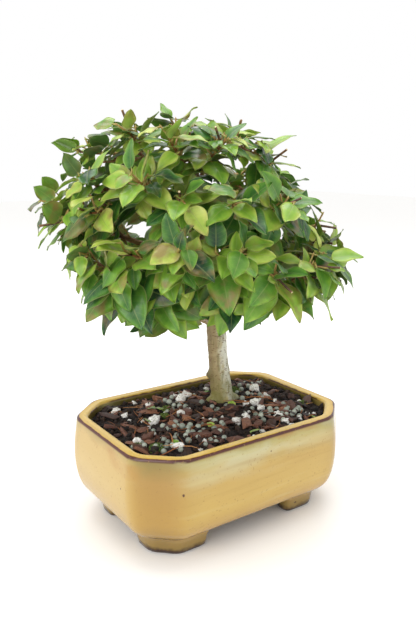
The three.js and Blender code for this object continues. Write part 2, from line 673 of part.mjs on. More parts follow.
CHIPS.forEach((row, i) => addPiece(potFrame, `bark_chip_${i + 1}`, makeChip(row, random), chipBrown));
PERLITE.forEach(([x, y, radius], i) => {
  addPiece(potFrame, `perlite_${i + 1}`, makeLump(x, y, radius, radius * 0.8, random), perliteWhite);
});
addPiece(potFrame, 'moss_tuft', makeLump(MOSS[0], MOSS[1], MOSS[2], MOSS[3], random), mossGreen);

// The origin goes to the middle of the whole plant's box, on the table.
plant.updateMatrixWorld(true);
const middle = new THREE.Box3().setFromObject(plant, true).getCenter(new THREE.Vector3());
potFrame.position.set(-middle.x, -middle.y, 0);
plant.updateMatrixWorld(true);

export default plant;
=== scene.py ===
# %% [markdown]
# # A bonsai tree in a glazed pot
# The plant is a young privet, trained as a bonsai: one pale trunk, a domed crown of waxy leaves,
# and a six inch clay pot with clipped corners and four feet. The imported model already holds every
# part at its true size, as plain facets. This lesson keeps that frame and gives each part its
# real surface. First it loads the frame and notes the few sizes that everything else starts from.

# %% Load the frame
import math
import random

import bmesh
import bpy
import numpy as np
from mathutils import Matrix, Vector, noise
from mathutils.bvhtree import BVHTree


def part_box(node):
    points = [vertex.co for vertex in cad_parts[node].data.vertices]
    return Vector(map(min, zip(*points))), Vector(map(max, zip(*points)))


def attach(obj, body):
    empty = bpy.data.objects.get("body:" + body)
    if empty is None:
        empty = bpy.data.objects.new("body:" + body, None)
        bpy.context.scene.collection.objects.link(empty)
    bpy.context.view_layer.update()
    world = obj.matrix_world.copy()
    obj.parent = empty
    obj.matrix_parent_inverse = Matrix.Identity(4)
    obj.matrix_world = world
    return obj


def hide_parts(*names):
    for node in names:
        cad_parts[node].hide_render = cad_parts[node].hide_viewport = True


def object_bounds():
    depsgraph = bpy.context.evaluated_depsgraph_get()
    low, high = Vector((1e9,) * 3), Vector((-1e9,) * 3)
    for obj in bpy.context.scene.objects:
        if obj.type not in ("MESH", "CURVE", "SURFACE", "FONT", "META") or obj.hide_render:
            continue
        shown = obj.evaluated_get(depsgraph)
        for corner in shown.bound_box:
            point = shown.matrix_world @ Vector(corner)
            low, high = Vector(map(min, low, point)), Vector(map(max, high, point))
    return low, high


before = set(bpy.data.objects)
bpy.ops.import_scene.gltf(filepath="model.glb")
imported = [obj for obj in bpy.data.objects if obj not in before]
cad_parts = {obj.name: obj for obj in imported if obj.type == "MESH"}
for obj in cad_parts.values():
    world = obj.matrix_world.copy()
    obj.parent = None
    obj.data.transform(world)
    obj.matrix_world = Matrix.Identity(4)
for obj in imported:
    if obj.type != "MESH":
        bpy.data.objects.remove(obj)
cad_low, cad_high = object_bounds()
MM = 0.001
pot_low, pot_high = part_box("pot")
soil_low, soil_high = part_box("soil")
pot_middle = (pot_low + pot_high) / 2
pot_middle.z = 0
print("the plant measures", [round((h - l) / MM) for l, h in zip(cad_low, cad_high)], "mm")

# %% [markdown]
# A few small helpers serve the whole lesson. Colours are written as the hex values that a paint
# chart shows, and one function turns them into the linear light that a shader needs. One function
# adds a shader node with its settings and links. One starts a material from the real surface's
# roughness and index of refraction, so that each later cell only adds what is special. Many loose
# things differ only by a fine grain and by their tone, so those share one more function. A
# pattern's scale counts its grains per metre, so a scale of 500 makes them 2 mm across.

# %% Colour, node and material helpers
def linear(hex_colour):
    """The linear colour of an sRGB hex value."""
    parts = [int(hex_colour[i:i + 2], 16) / 255 for i in (1, 3, 5)]
    return [p / 12.92 if p <= 0.04045 else ((p + 0.055) / 1.055) ** 2.4 for p in parts] + [1.0]


def add(tree, kind, inputs=None, stops=(), span=(), out=0, **settings):
    """Adds a node and returns one output.

    The kind may name its operation too, as in "Math ADD". Inputs are values, hex colours or the
    outputs that feed them. Stops fill a colour ramp, and a span is a map's two ranges.
    """
    kind, _, operation = kind.partition(" ")
    node = tree.nodes.new("ShaderNode" + kind)
    if operation:
        node.operation = operation
    if kind == "Mix":
        node.data_type, out = "RGBA", 2
    for key, value in settings.items():
        setattr(node, key, value)
    for socket, value in zip(("From Min", "From Max", "To Min", "To Max"), span):
        node.inputs[socket].default_value = value
    for socket, value in (inputs or {}).items():
        if isinstance(value, bpy.types.NodeSocket):
            tree.links.new(value, node.inputs[socket])
        else:
            node.inputs[socket].default_value = linear(value) if isinstance(value, str) else value
    for _ in stops[2:]:
        node.color_ramp.elements.new(1)
    for element, (place, colour) in zip(node.color_ramp.elements if stops else (), stops):
        element.position = place
        element.color = linear(colour) if isinstance(colour, str) else (colour, colour, colour, 1)
    return node.outputs[out]


def new_material(name, roughness, ior=1.5):
    """A material, its tree and its principled shader."""
    material = bpy.data.materials.new(name)
    material.use_nodes = True
    shader = material.node_tree.nodes["Principled BSDF"]
    shader.inputs["Roughness"].default_value = roughness
    shader.inputs["IOR"].default_value = ior
    return material, material.node_tree, shader


def toned_material(name, roughness, stops, grain=None, share=0.0, relief=None, ior=1.5):
    """A material whose colour follows a fine grain, the painted tone (share of 0), or their sum."""
    material, tree, shader = new_material(name, roughness, ior)
    mixed = None
    if grain:
        place = add(tree, "TexCoord", out="Object")
        fine = mixed = add(tree, "TexNoise", {"Vector": place, **grain})
    if share or not grain:
        tone = add(tree, "Attribute", attribute_name="tone", out="Fac")
        mixed = add(tree, "Math MULTIPLY_ADD", {0: mixed, 1: share, 2: tone}) if grain else tone
    colour = add(tree, "ValToRGB", {"Fac": mixed}, stops)
    tree.links.new(colour, shader.inputs["Base Color"])
    if relief:
        bump = add(tree, "Bump", {"Height": fine, "Strength": relief[0], "Distance": relief[1] * MM})
        tree.links.new(bump, shader.inputs["Normal"])
    return material


def new_object(name, data):
    """An object in the scene that shows some data."""
    made = bpy.data.objects.new(name, data)
    bpy.context.scene.collection.objects.link(made)
    return made


def new_piece(name, mesh, materials, replaces=()):
    """A smooth-shaded piece of the plant, riding on its one body."""
    piece = new_object(name, mesh)
    for material in materials:
        mesh.materials.append(material)
    mesh.shade_smooth()
    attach(piece, "root")
    if replaces:
        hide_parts(*replaces)
    return piece


print("a mid grey is", round(linear("#808080")[0], 3), "in linear light")

# %% [markdown]
# The camera stands a little above the rim and looks along the pot's corner, about as far away as a
# person who leans over the table. A short lens at that distance makes the near corner loom, so the
# distance matters as much as the angle. The picture's middle sits above the lens axis, so the
# camera uses a small upward shift instead of a tilt, which keeps the verticals honest.

# %% Camera
CAMERA_AZIMUTH = math.radians(-35.27)
CAMERA_ELEVATION = math.radians(16.89)
CAMERA_ROLL = math.radians(0.25)
CAMERA_DISTANCE = 0.402
CAMERA_AIM_HEIGHT = 0.100

camera_data = bpy.data.cameras.new("camera")
camera = new_object("camera", camera_data)
bpy.context.scene.camera = camera
camera_data.lens = 37.5
camera_data.shift_x = -0.0027
camera_data.shift_y = 0.069
camera_data.clip_start = 0.01
towards_camera = Vector((
    math.sin(CAMERA_AZIMUTH) * math.cos(CAMERA_ELEVATION),
    -math.cos(CAMERA_AZIMUTH) * math.cos(CAMERA_ELEVATION),
    math.sin(CAMERA_ELEVATION),
))
camera.rotation_mode = "QUATERNION"
camera.rotation_quaternion = (
    (-towards_camera).to_track_quat("-Z", "Y") @ Matrix.Rotation(CAMERA_ROLL, 3, "Z").to_quaternion()
)
camera.location = pot_middle + Vector((0, 0, CAMERA_AIM_HEIGHT)) + towards_camera * CAMERA_DISTANCE
print("the camera is", round(camera.location.z / MM), "mm above the table")

# %% [markdown]
# The plant stands on a white sweep in a bright, soft room. A broad softbox hangs over it, a second
# one fills from the front left, and the white world does the rest, so the shadow under the pot is
# pale and has no edge.

# %% Floor and light
def softbox(name, place, aim, size, watts):
    """A square area light that faces a point."""
    data = bpy.data.lights.new(name, "AREA")
    data.size = size
    data.energy = watts
    light = new_object(name, data)
    light.location = place
    light.rotation_euler = (Vector(aim) - Vector(place)).to_track_quat("-Z", "Y").to_euler()


softbox("softbox_above", (0.15, 0.25, 0.95), (0, 0, 0.12), 0.9, 6)
softbox("softbox_left", (-0.9, -0.3, 0.6), (0, 0, 0.12), 0.7, 4)

world = bpy.data.worlds.new("white_room")
bpy.context.scene.world = world
world.use_nodes = True
world.node_tree.nodes["Background"].inputs["Color"].default_value = (1, 1, 1, 1)
world.node_tree.nodes["Background"].inputs["Strength"].default_value = 1.0
bpy.context.scene.view_settings.view_transform = "Standard"

floor_mesh = bpy.data.meshes.new("floor")
floor_mesh.from_pydata([(-3, -3, 0), (3, -3, 0), (3, 3, 0), (-3, 3, 0)], [], [(0, 1, 2, 3)])
floor = new_object("floor", floor_mesh)
paper, paper_tree, paper_shader = new_material("white_paper_sweep", 0.9)
paper_shader.inputs["Base Color"].default_value = linear("#fdfcfa")
floor_mesh.materials.append(paper)

# %% [markdown]
# The pot was pressed in a mould, so its walls are even, its corners are clipped and softened, and
# it swells above the feet before it curls in. Every level of it has the same outline, moved out or
# in, so one function draws that outline and the wall is a skin over a stack of them. A stack
# follows the drawn profile exactly and stays smooth, where a sculpted block would ripple under
# the gloss.

# %% Pot outline
BELLY = 2.2 * MM  # the wall's widest level stands this far outside the rim
HALF_LENGTH = (pot_high.x - pot_low.x) / 2 - BELLY
HALF_WIDTH = (pot_high.y - pot_low.y) / 2 - BELLY
CLIP_X = 21.2 * MM
CLIP_Y = 19.4 * MM
CLIP = math.hypot(CLIP_X, CLIP_Y)
CORNER_RADIUS = 12 * MM  # at the rim; the levels inside it turn more tightly
CORNER_STEPS = 7
EDGE_LENGTH = 6 * MM  # the longest step along a straight stretch


def pot_corners(offset):
    """The eight corners of the clipped rectangle, moved outwards by offset."""
    a, b = HALF_LENGTH + offset, HALF_WIDTH + offset
    grow = 1 + offset * (CLIP_X + CLIP_Y - CLIP) / (CLIP_X * CLIP_Y)
    x, y = CLIP_X * grow, CLIP_Y * grow
    right = [Vector(p) for p in ((a - x, -b), (a, -b + y), (a, b - y), (a - x, b))]
    left = [Vector((-p.x, p.y)) for p in reversed(right)]
    return right[1:] + left + right[:1]


side_steps = [
    max(1, round((q - p).length / EDGE_LENGTH))
    for p, q in zip(pot_corners(0), pot_corners(0)[1:] + pot_corners(0)[:1])
]


def pot_outline(offset):
    """The outline with round corners, as points that match from level to level."""
    radius = CORNER_RADIUS + 0.25 * offset
    corners = pot_corners(offset)
    arcs = []
    for i, corner in enumerate(corners):
        before = (corners[i - 1] - corner).normalized()
        after = (corners[(i + 1) % 8] - corner).normalized()
        turn = math.pi - before.angle(after)
        reach = radius * math.tan(turn / 2)
        centre = corner + (before + after).normalized() * (radius / math.cos(turn / 2))
        start = corner + before * reach - centre
        spin = [turn * k / CORNER_STEPS for k in range(CORNER_STEPS + 1)]
        arcs.append([centre + Vector((
            start.x * math.cos(s) - start.y * math.sin(s),
            start.x * math.sin(s) + start.y * math.cos(s),
        )) for s in spin])
    points = []
    for i, arc in enumerate(arcs):
        points += arc
        following = arcs[(i + 1) % 8][0]
        points += [arc[-1].lerp(following, k / side_steps[i]) for k in range(1, side_steps[i])]
    return points


def outside_sides(x, y):
    """How far a place lies outside the nearest short side, long side and clipped corner."""
    x, y = abs(x - pot_middle.x), abs(y - pot_middle.y)
    clip_line = (CLIP_Y * HALF_LENGTH + CLIP_X * HALF_WIDTH - CLIP_X * CLIP_Y) / CLIP
    return x - HALF_LENGTH, y - HALF_WIDTH, (CLIP_Y * x + CLIP_X * y) / CLIP - clip_line


def outside_rim(x, y):
    """How far a place lies outside the rim's outline; negative inside."""
    return max(outside_sides(x, y))


print("one level of the pot has", len(pot_outline(0)), "points")

# %% [markdown]
# The profile is drawn once as height and offset, then rounded into an even curve. It runs from the
# underside out over the foot line, up the swelling wall, across the flat rim with its two rounded
# edges, and down inside to the floor.

# %% Pot wall
FOOT = 11.6 * MM
FLOOR_TOP = 15 * MM


def smooth_line(points, spacing):
    """An even, rounded line through 2-D or 3-D points (Catmull-Rom)."""
    p = np.array([points[0], *points, points[-1]], float)
    line = []
    for i in range(1, len(p) - 2):
        steps = max(1, round(float(np.linalg.norm(p[i + 1] - p[i])) / spacing))
        for t in np.arange(steps) / steps:
            line.append(0.5 * (
                2 * p[i] + (p[i + 1] - p[i - 1]) * t
                + (2 * p[i - 1] - 5 * p[i] + 4 * p[i + 1] - p[i + 2]) * t ** 2
                + (3 * p[i] - p[i - 1] - 3 * p[i + 1] + p[i + 2]) * t ** 3
            ))
    return [*line, p[-1]]


def loft(rings):
    """A mesh over rings of points; each ring goes round the same way, and the ends get flat caps."""
    made = bmesh.new()
    rows = [[made.verts.new(p) for p in ring] for ring in rings]
    count = len(rows[0])
    for low, high in zip(rows, rows[1:]):
        for i in range(count):
            made.faces.new((low[i], low[(i + 1) % count], high[(i + 1) % count], high[i]))
    made.faces.new(list(reversed(rows[0])))
    made.faces.new(rows[-1])
    return made


def pot_rings(line):
    """The pot's outline at every height and offset of a line."""
    return [
        [(p.x + pot_middle.x, p.y + pot_middle.y, z) for p in pot_outline(offset)] for z, offset in line
    ]


outer_profile = [
    (11.6, -13), (11.7, -11.2), (12.2, -9.6), (13.1, -7.8), (14.6, -5.6), (17.5, -2.9), (21, -0.9), (26, 0.7),
    (32, 1.7), (40, 2.2), (48, 1.9), (55, 1.1), (60, 0.4), (63, 0.05), (64.2, -0.2), (64.85, -0.8),
    (65, -1.7), (64.9, -3.4), (65, -5.1), (64.75, -6.1), (64, -6.7), (62.5, -6.9), (60, -6.8),
    (55, -6), (46, -5.4), (36, -5.9), (27, -8), (20, -11.5), (16.5, -16.5), (15, -22),
]  # height and offset in millimetres
wall_line = smooth_line([(z * MM, offset * MM) for z, offset in outer_profile], 0.9 * MM)
wall_rings = pot_rings(wall_line)
wall = loft(wall_rings)
print("the wall has", len(wall.verts), "points on", len(wall_rings), "levels")

# %% [markdown]
# The four feet were pressed as L-shaped pads and luted on under the corners. Each is a band that
# follows the outline round one corner and ends in a rounded nose. The band narrows towards the
# table and flares where it meets the wall. The feet and the two drainage holes are joined and cut
# with booleans, because the real joints are sharp there too.

# %% Pot feet and drainage holes
FOOT_OUTER = -12.9 * MM  # the pad's outer face, inside the rim's outline
FOOT_WIDTH = 11 * MM
FOOT_NOSE = 3.5 * MM  # radius of the pad's rounded ends
FOOT_BEND = 10 * MM  # how far from the corner the pad starts to turn
FEET_APART_X = 31 * MM  # half the opening between two feet on a long side
FEET_APART_Y = 16 * MM
DRAIN_RADIUS = 5.5 * MM
DRAIN_X = 28 * MM


def foot_band(sign_x, sign_y, spread):
    """The plan of one foot, grown outwards by spread; every spread gives the same number of points."""
    middle = FOOT_OUTER - FOOT_WIDTH / 2
    a, b = HALF_LENGTH + middle, HALF_WIDTH + middle
    reach = FOOT_BEND
    bend_x, bend_y = a - reach - 3 * MM, b - reach - 3 * MM
    bend = [
        (FEET_APART_X, b), (bend_x, b), (a - reach * 0.9, b - reach * 0.06),
        (a - reach * 0.5, b - reach * 0.44), (a - reach * 0.07, b - reach * 0.86),
        (a, bend_y), (a, FEET_APART_Y),
    ]
    line = [Vector(p) for p in smooth_line(bend, 1.5 * MM)]
    before = sum(p.x < bend_x for p in line)
    after = len(line) - sum(p.y < bend_y for p in line) - 1
    for i in range(before):
        line[i].x -= spread * (1 - i / before)
    for i in range(after + 1, len(line)):
        line[i].y -= spread * (i - after) / (len(line) - 1 - after)
    lengths = np.cumsum([0] + [(q - p).length for p, q in zip(line, line[1:])])
    left, right = [], []
    for i, p in enumerate(line):
        ahead = (line[min(i + 1, len(line) - 1)] - line[max(i - 1, 0)]).normalized()
        from_end = min(lengths[i], lengths[-1] - lengths[i], FOOT_NOSE)
        nose = math.sqrt(FOOT_NOSE ** 2 - (FOOT_NOSE - from_end) ** 2)
        half = FOOT_WIDTH / 2 + spread - FOOT_NOSE + nose
        normal = Vector((-ahead.y, ahead.x))
        left.append(p + normal * half)
        right.append(p - normal * half)
    # The inner side cuts the corner, where an offset would fold over itself.
    for i in range(before, after + 1):
        right[i] = right[before - 1].lerp(right[after + 1], (i - before + 1) / (after - before + 2))
    ring = [Vector((p.x * sign_x, p.y * sign_y)) for p in left + right[::-1]]
    return ring if sign_x * sign_y < 0 else ring[::-1]


def to_mesh(name, made):
    """A mesh from a bmesh, with its faces pointing out."""
    bmesh.ops.recalc_face_normals(made, faces=made.faces)
    mesh = bpy.data.meshes.new(name)
    made.to_mesh(mesh)
    made.free()
    return mesh


def settled(thing):
    """A copy of the mesh as its modifiers leave it; the object itself is removed."""
    graph = bpy.context.evaluated_depsgraph_get()
    mesh = bpy.data.meshes.new_from_object(thing.evaluated_get(graph))
    bpy.data.objects.remove(thing)
    return mesh


shell = new_object("shell", to_mesh("shell", wall))
tools = []
foot_levels = [
    (0, -1.2), (0.25, -0.5), (0.9, 0.1), (3, 0.5), (6, 0.9), (8.5, 1.5), (10.5, 2.4), (12, 3.6), (13.2, 5),
]  # height and spread in millimetres
for sign_x in (-1, 1):
    for sign_y in (-1, 1):
        rings = []
        for z, grow in foot_levels:
            plan = foot_band(sign_x, sign_y, grow * MM)
            rings.append([(p.x + pot_middle.x, p.y + pot_middle.y, z * MM) for p in plan])
        tools.append(("UNION", new_object("foot", to_mesh("foot", loft(rings)))))
for x in (-DRAIN_X, DRAIN_X):
    turns = np.linspace(0, 2 * math.pi, 48, endpoint=False)
    circle = [Vector((math.cos(t), math.sin(t))) * DRAIN_RADIUS for t in turns]
    rings = [
        [(pot_middle.x + x + c.x, pot_middle.y + c.y, z) for c in circle]
        for z in (FOOT - 3 * MM, FLOOR_TOP + 3 * MM)
    ]
    tools.append(("DIFFERENCE", new_object("drain", to_mesh("drain", loft(rings)))))
for operation, tool in tools:
    cut = shell.modifiers.new(operation.lower(), "BOOLEAN")
    cut.operation = operation
    cut.object = tool
    cut.solver = "EXACT"
pot_mesh = settled(shell)
for _, tool in tools:
    bpy.data.objects.remove(tool)
print("the pot has", len(pot_mesh.polygons), "faces")

# %% [markdown]
# The glaze is the pot's whole character. It is a glossy straw-coloured celadon over brown clay. It
# ran thin on the outer edge of the rim, where the clay shows as a wavy maroon line, and pooled
# thick and bluish just under it. Each of those effects belongs to a place on the wall, so the mesh
# carries its own measures: the height, the distance outside the rim line, and how much a point
# belongs to a short side, a long side or a clipped corner.

# %% Glaze measures
def carry(mesh, name, values):
    """Store one number per point on the mesh."""
    layer = mesh.attributes.new(name, "FLOAT", "POINT")
    layer.data.foreach_set("value", np.asarray(values, np.float32))


def rim_measures(x, y):
    """The rounded distance outside the rim line, and how much a short side and a clip share in it."""
    weights = [math.exp(n / ROUNDING) for n in outside_sides(x, y)]
    total = sum(weights)
    return ROUNDING * math.log(total), weights[0] / total, weights[2] / total


ROUNDING = 2.2 * MM  # softens the distance where two sides meet, as the round corners do
pot_points = [v.co.copy() for v in pot_mesh.vertices]
measures = [rim_measures(p.x, p.y) for p in pot_points]
carry(pot_mesh, "outside_rim", [m[0] / MM for m in measures])
carry(pot_mesh, "height", [p.z / MM for p in pot_points])
carry(pot_mesh, "short_side", [m[1] for m in measures])
carry(pot_mesh, "clipped_corner", [m[2] for m in measures])
print("measures stored for", len(pot_points), "points of the pot")

# %% [markdown]
# The colour is built in the order of the real layers. First comes the straw glaze with its change from foot
# to rim. Over it lie the warmer short sides and the browner corners, whose darker brown is partly their own
# tone and partly painted shade, then a bluish milky haze, an ochre one and faint brush strokes on the long
# sides. Last come the rim's own colours, read off the distance to the rim line with a little noise so that
# the maroon line wavers, and the iron specks and pinholes of a wood-ash glaze.

# %% Glaze material
FLAWS = [
    (-57, -55, 56, 0.7, 3.4), (-56, -56, 46, 0.8, 1.4), (-65, -47, 60, 0.7, 1.2),
    (10, -57, 55, 0.5, 1), (-78, -27, 44, 0.6, 1), (37, -43, 6, 1.1, 0.7),
]  # pinholes and one iron run, from the pot's middle: place, radius and how far it ran down
glaze, tree, shader = new_material("celadon_glaze_on_stoneware", 0.16, 1.52)
place = add(tree, "TexCoord", out="Object")
height, outside, short_side, clipped = [
    add(tree, "Attribute", attribute_name=name, out="Fac")
    for name in ("height", "outside_rim", "short_side", "clipped_corner")
]
clouds = add(tree, "TexNoise", {"Vector": place, "Scale": 55, "Detail": 4})  # 18 mm, as it ran
grain = add(tree, "TexNoise", {"Vector": place, "Scale": 700, "Detail": 3})  # 1.4 mm, iron specks
waver = add(tree, "TexNoise", {"Vector": place, "Scale": 170, "Detail": 3})  # 6 mm
run_place = add(tree, "Mapping", {"Vector": place, "Scale": (1, 1, 3.0), "Rotation": (0.1, 0.12, 0)})
runs = add(tree, "TexNoise", {"Vector": run_place, "Scale": 26, "Detail": 3, "Distortion": 0.3})

uneven = add(tree, "Math MULTIPLY_ADD", {0: clouds, 1: 9.0, 2: height})
level = add(tree, "MapRange", {0: uneven}, span=(4.5, 69.5))
straw = add(tree, "ValToRGB", {"Fac": level}, [
    (0, "#88723a"), (0.13, "#997e42"), (0.2, "#b7914b"), (0.45, "#c6a659"), (0.72, "#be9e55"),
    (0.86, "#bca562"), (0.94, "#aea263"), (1, "#98894a"),
])
warm = add(tree, "ValToRGB", {"Fac": level}, [
    (0, "#88723a"), (0.14, "#9e8044"), (0.22, "#b59451"), (0.6, "#c0a360"), (0.9, "#bb9d5a"),
    (1, "#9b833f"),
])
# The clipped corners get a browner, darker ramp: partly the glaze's own tone there, partly painted shade.
corner_brown_and_shade = add(tree, "ValToRGB", {"Fac": level}, [
    (0, "#826b36"), (0.15, "#94773c"), (0.4, "#a9853f"), (0.8, "#a27e3d"), (0.93, "#8a7438"),
    (1, "#807038"),
])
colour = add(tree, "Mix", {0: short_side, 6: straw, 7: warm})
colour = add(tree, "Mix", {0: clipped, 6: colour, 7: corner_brown_and_shade})

under_rim = add(tree, "MapRange", {0: height}, span=(42, 60))
not_long = add(tree, "Math ADD", {0: short_side, 1: clipped})
long_side = add(tree, "Math SUBTRACT", {0: 1.0, 1: not_long})
long_under_rim = add(tree, "Math MULTIPLY", {0: under_rim, 1: long_side})
brush_place = add(tree, "Mapping", {"Vector": place, "Scale": (12, 12, 210), "Rotation": (0, 0.05, 0)})
brushed = add(tree, "TexNoise", {"Vector": brush_place, "Scale": 1, "Detail": 2})
for pattern, stops, where, tint in (
    (runs, [(0.46, 0.0), (0.68, 0.5)], long_under_rim, "#c4c6ac"),  # the milky haze
    (runs, [(0.3, 0.6), (0.44, 0.0)], under_rim, "#a87a34"),  # the ochre haze
    (brushed, [(0.3, 0.3), (0.46, 0.0)], long_side, "#9c7a36"),  # strokes, 80 mm long and 5 mm apart
    (brushed, [(0.55, 0.0), (0.72, 0.25)], long_side, "#d0c48c"),
):
    share = add(tree, "ValToRGB", {"Fac": pattern}, stops)
    share = add(tree, "Math MULTIPLY", {0: share, 1: where})
    colour = add(tree, "Mix", {0: share, 6: colour, 7: tint})

wavy = add(tree, "Math MULTIPLY_ADD", {0: waver, 1: 1.3, 2: outside})
across_rim = add(tree, "MapRange", {0: wavy}, span=(-8.0, 3.0))
rim = add(tree, "ValToRGB", {"Fac": across_rim}, [
    (0.0, "#5e5430"), (0.13, "#4a2f18"), (0.19, "#553418"), (0.225, "#cda84e"), (0.4, "#e6c468"),
    (0.67, "#d9b050"), (0.71, "#57281a"), (0.82, "#4a2420"), (0.87, "#a5986a"),
])
at_rim = add(tree, "MapRange", {0: height}, span=(62.9, 63.8))
colour = add(tree, "Mix", {0: at_rim, 6: colour, 7: rim})
inside = add(tree, "MapRange", {0: outside}, span=(-6.2, -6.9))
for levels in ((14.5, 15.5), (63.6, 62.6)):  # above the floor, below the rim's top
    within = add(tree, "MapRange", {0: height}, span=levels)
    inside = add(tree, "Math MULTIPLY", {0: inside, 1: within})
colour = add(tree, "Mix", {0: inside, 6: colour, 7: "#6b6030"})

specks = add(tree, "ValToRGB", {"Fac": grain}, [(0.62, 0.0), (0.72, 0.5)])
pits = add(tree, "TexVoronoi", {"Vector": place, "Scale": 42})
pits = add(tree, "MapRange", {0: pits}, span=(0.04, 0.02))
for x, y, z, radius, drop in FLAWS:
    spot = pot_middle + Vector((x, y, z)) * MM
    apart = add(tree, "VectorMath SUBTRACT", {0: place, 1: spot})
    apart = add(tree, "VectorMath MULTIPLY", {0: apart, 1: (1, 1, 1 / drop)})
    apart = add(tree, "VectorMath LENGTH", {0: apart}, out="Value")
    flaw = add(tree, "MapRange", {0: apart}, span=(radius * MM, radius * 0.5 * MM))
    pits = add(tree, "Math MAXIMUM", {0: pits, 1: flaw})
crease = add(tree, "MapRange", {0: height}, span=(10.4, 13.6))
crease = add(tree, "ValToRGB", {"Fac": crease}, [(0.2, 0.0), (0.36, 0.7), (0.5, 0.45), (0.8, 0.0)])
foot_edge = add(tree, "Math MULTIPLY_ADD", {0: waver, 1: 6.0, 2: height})
foot_edge = add(tree, "MapRange", {0: foot_edge}, span=(7.2, 4.4))
bare_clay = add(tree, "Math MAXIMUM", {0: crease, 1: foot_edge})
for share, tint in ((specks, "#94703a"), (pits, "#4c2c1a"), (bare_clay, "#3c2414")):
    colour = add(tree, "Mix", {0: share, 6: colour, 7: tint})
tree.links.new(colour, shader.inputs["Base Color"])
peel = add(tree, "Bump", {"Height": clouds, "Strength": 0.12, "Distance": 0.6 * MM})
dents = add(tree, "Bump", {"Height": pits, "Strength": 0.6, "Distance": 0.4 * MM, "Normal": peel},
            invert=True)
tree.links.new(dents, shader.inputs["Normal"])
new_piece("glazed_pot", pot_mesh, [glaze], replaces=["pot"])

# %% [markdown]
# The trunk is privet wood, pale and smooth, with a knob on one side, brown breathing pores and fine
# cracks round it. It was modelled as plain tapered limbs that grow out of each other. A fine voxel
# remesh melts their joints into the soft collars that a tree grows there. Then every point
# moves in or out a little by noise, so the outline is no longer a row of tubes. The remesh and its
# smoothing eat a little of the girth, which the same step gives back.

# %% Trunk and limbs
KNOB_HEIGHT = 78 * MM
KNOB_SIZE = 2.8  # how far the knob stands out, in millimetres
RIGHT_OF_VIEW = Vector((math.cos(CAMERA_AZIMUTH), math.sin(CAMERA_AZIMUTH), 0))
wood_object = new_object("wood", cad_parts["trunk_and_limbs"].data.copy())
remesh = wood_object.modifiers.new("remesh", "REMESH")
remesh.mode = "VOXEL"
remesh.voxel_size = 0.58 * MM
soften = wood_object.modifiers.new("soften", "SMOOTH")
soften.factor = 0.5
soften.iterations = 5
wood_mesh = settled(wood_object)
wood_mesh.materials.clear()
wood_tree = BVHTree.FromPolygons(
    [v.co for v in wood_mesh.vertices], [p.vertices for p in wood_mesh.polygons]
)

knob_level = [v.co for v in wood_mesh.vertices if abs(v.co.z - KNOB_HEIGHT) < 1.5 * MM]
knob = min(knob_level, key=lambda p: p.dot(RIGHT_OF_VIEW)).copy()
girths = []
shifts = []
for vertex in wood_mesh.vertices:
    p, n = vertex.co, vertex.normal
    hit = wood_tree.ray_cast(p - n * 0.3 * MM, -n, 40 * MM)
    girth = hit[3] / MM if hit[0] is not None else 3.0
    girths.append(girth)
    big = min(1.0, girth / 9)
    # In millimetres: the lost girth, swellings 6 mm apart, a grain of 2.4 mm, rings and the knob.
    shift = 0.8 * big + 0.55 * big * noise.noise(p * 160) + 0.22 * noise.noise(p * 420)
    ring = noise.noise(Vector((p.x * 250, p.y * 250, p.z * 1300)))
    shift += 0.16 * big * ring - 0.25 * big * max(0.0, abs(ring) - 0.45)
    shift += KNOB_SIZE * math.exp(-((p - knob).length / (2.9 * MM)) ** 2)
    shifts.append(p + n * shift * MM)
for vertex, p in zip(wood_mesh.vertices, shifts):
    vertex.co = p
carry(wood_mesh, "girth", girths)
# Painted light: how far each point faces the right of the view, which the bark paints paler.
carry(wood_mesh, "painted_right_light", [0.5 + 0.5 * v.normal.dot(RIGHT_OF_VIEW) for v in wood_mesh.vertices])
carry(wood_mesh, "knob", [math.exp(-((p - knob).length / (4 * MM)) ** 2) for p in shifts])
print("the wood has", len(wood_mesh.polygons), "faces")

# %% [markdown]
# Privet bark stays thin. On the trunk it is a warm beige with brown pores, painted paler as painted light on
# the side that faces the right of the view, and on young wood it is a warmer orange brown, so the mesh's own
# thickness drives the colour. Fine cracks run round the trunk, and damp keeps a green bloom of algae on its
# lowest part.

# %% Bark material
bark, tree, shader = new_material("thin_privet_bark", 0.62)
place = add(tree, "TexCoord", out="Object")
girth, painted_right_light, at_knob = [
    add(tree, "Attribute", attribute_name=name, out="Fac") for name in ("girth", "painted_right_light", "knob")
]
height = add(tree, "SeparateXYZ", {"Vector": place}, out="Z")
patches = add(tree, "TexNoise", {"Vector": place, "Scale": 150, "Detail": 5, "Roughness": 0.6})
# Painted light: the old bark turns paler towards the side that faces the right of the view.
patches_and_painted_light = add(tree, "Math MULTIPLY_ADD", {0: patches, 1: 0.5, 2: painted_right_light})
old_bark = add(tree, "ValToRGB", {"Fac": patches_and_painted_light}, [
    (0.3, "#8f7a52"), (0.62, "#ae9a70"), (0.84, "#c6ba94"), (0.98, "#e6e4d2"),
])
young_bark = add(tree, "ValToRGB", {"Fac": patches}, [
    (0.35, "#5f4026"), (0.5, "#8a6238"), (0.68, "#b08a5a"),
])
age = add(tree, "MapRange", {0: girth}, span=(2.4, 6.5))
colour = add(tree, "Mix", {0: age, 6: young_bark, 7: old_bark})
long_place = add(tree, "Mapping", {"Vector": place, "Scale": (1, 1, 0.22)})
streaks = add(tree, "TexNoise", {"Vector": long_place, "Scale": 520, "Detail": 4})
streaks = add(tree, "ValToRGB", {"Fac": streaks}, [(0.36, 0.6), (0.47, 0.0)])
streaks = add(tree, "Math MULTIPLY", {0: streaks, 1: age})
flat_place = add(tree, "Mapping", {"Vector": place, "Scale": (1, 1, 3.2)})
pores = add(tree, "TexVoronoi", {"Vector": flat_place, "Scale": 330, "Randomness": 1})  # 3 mm apart
pores = add(tree, "MapRange", {0: pores}, span=(0.3, 0.2))
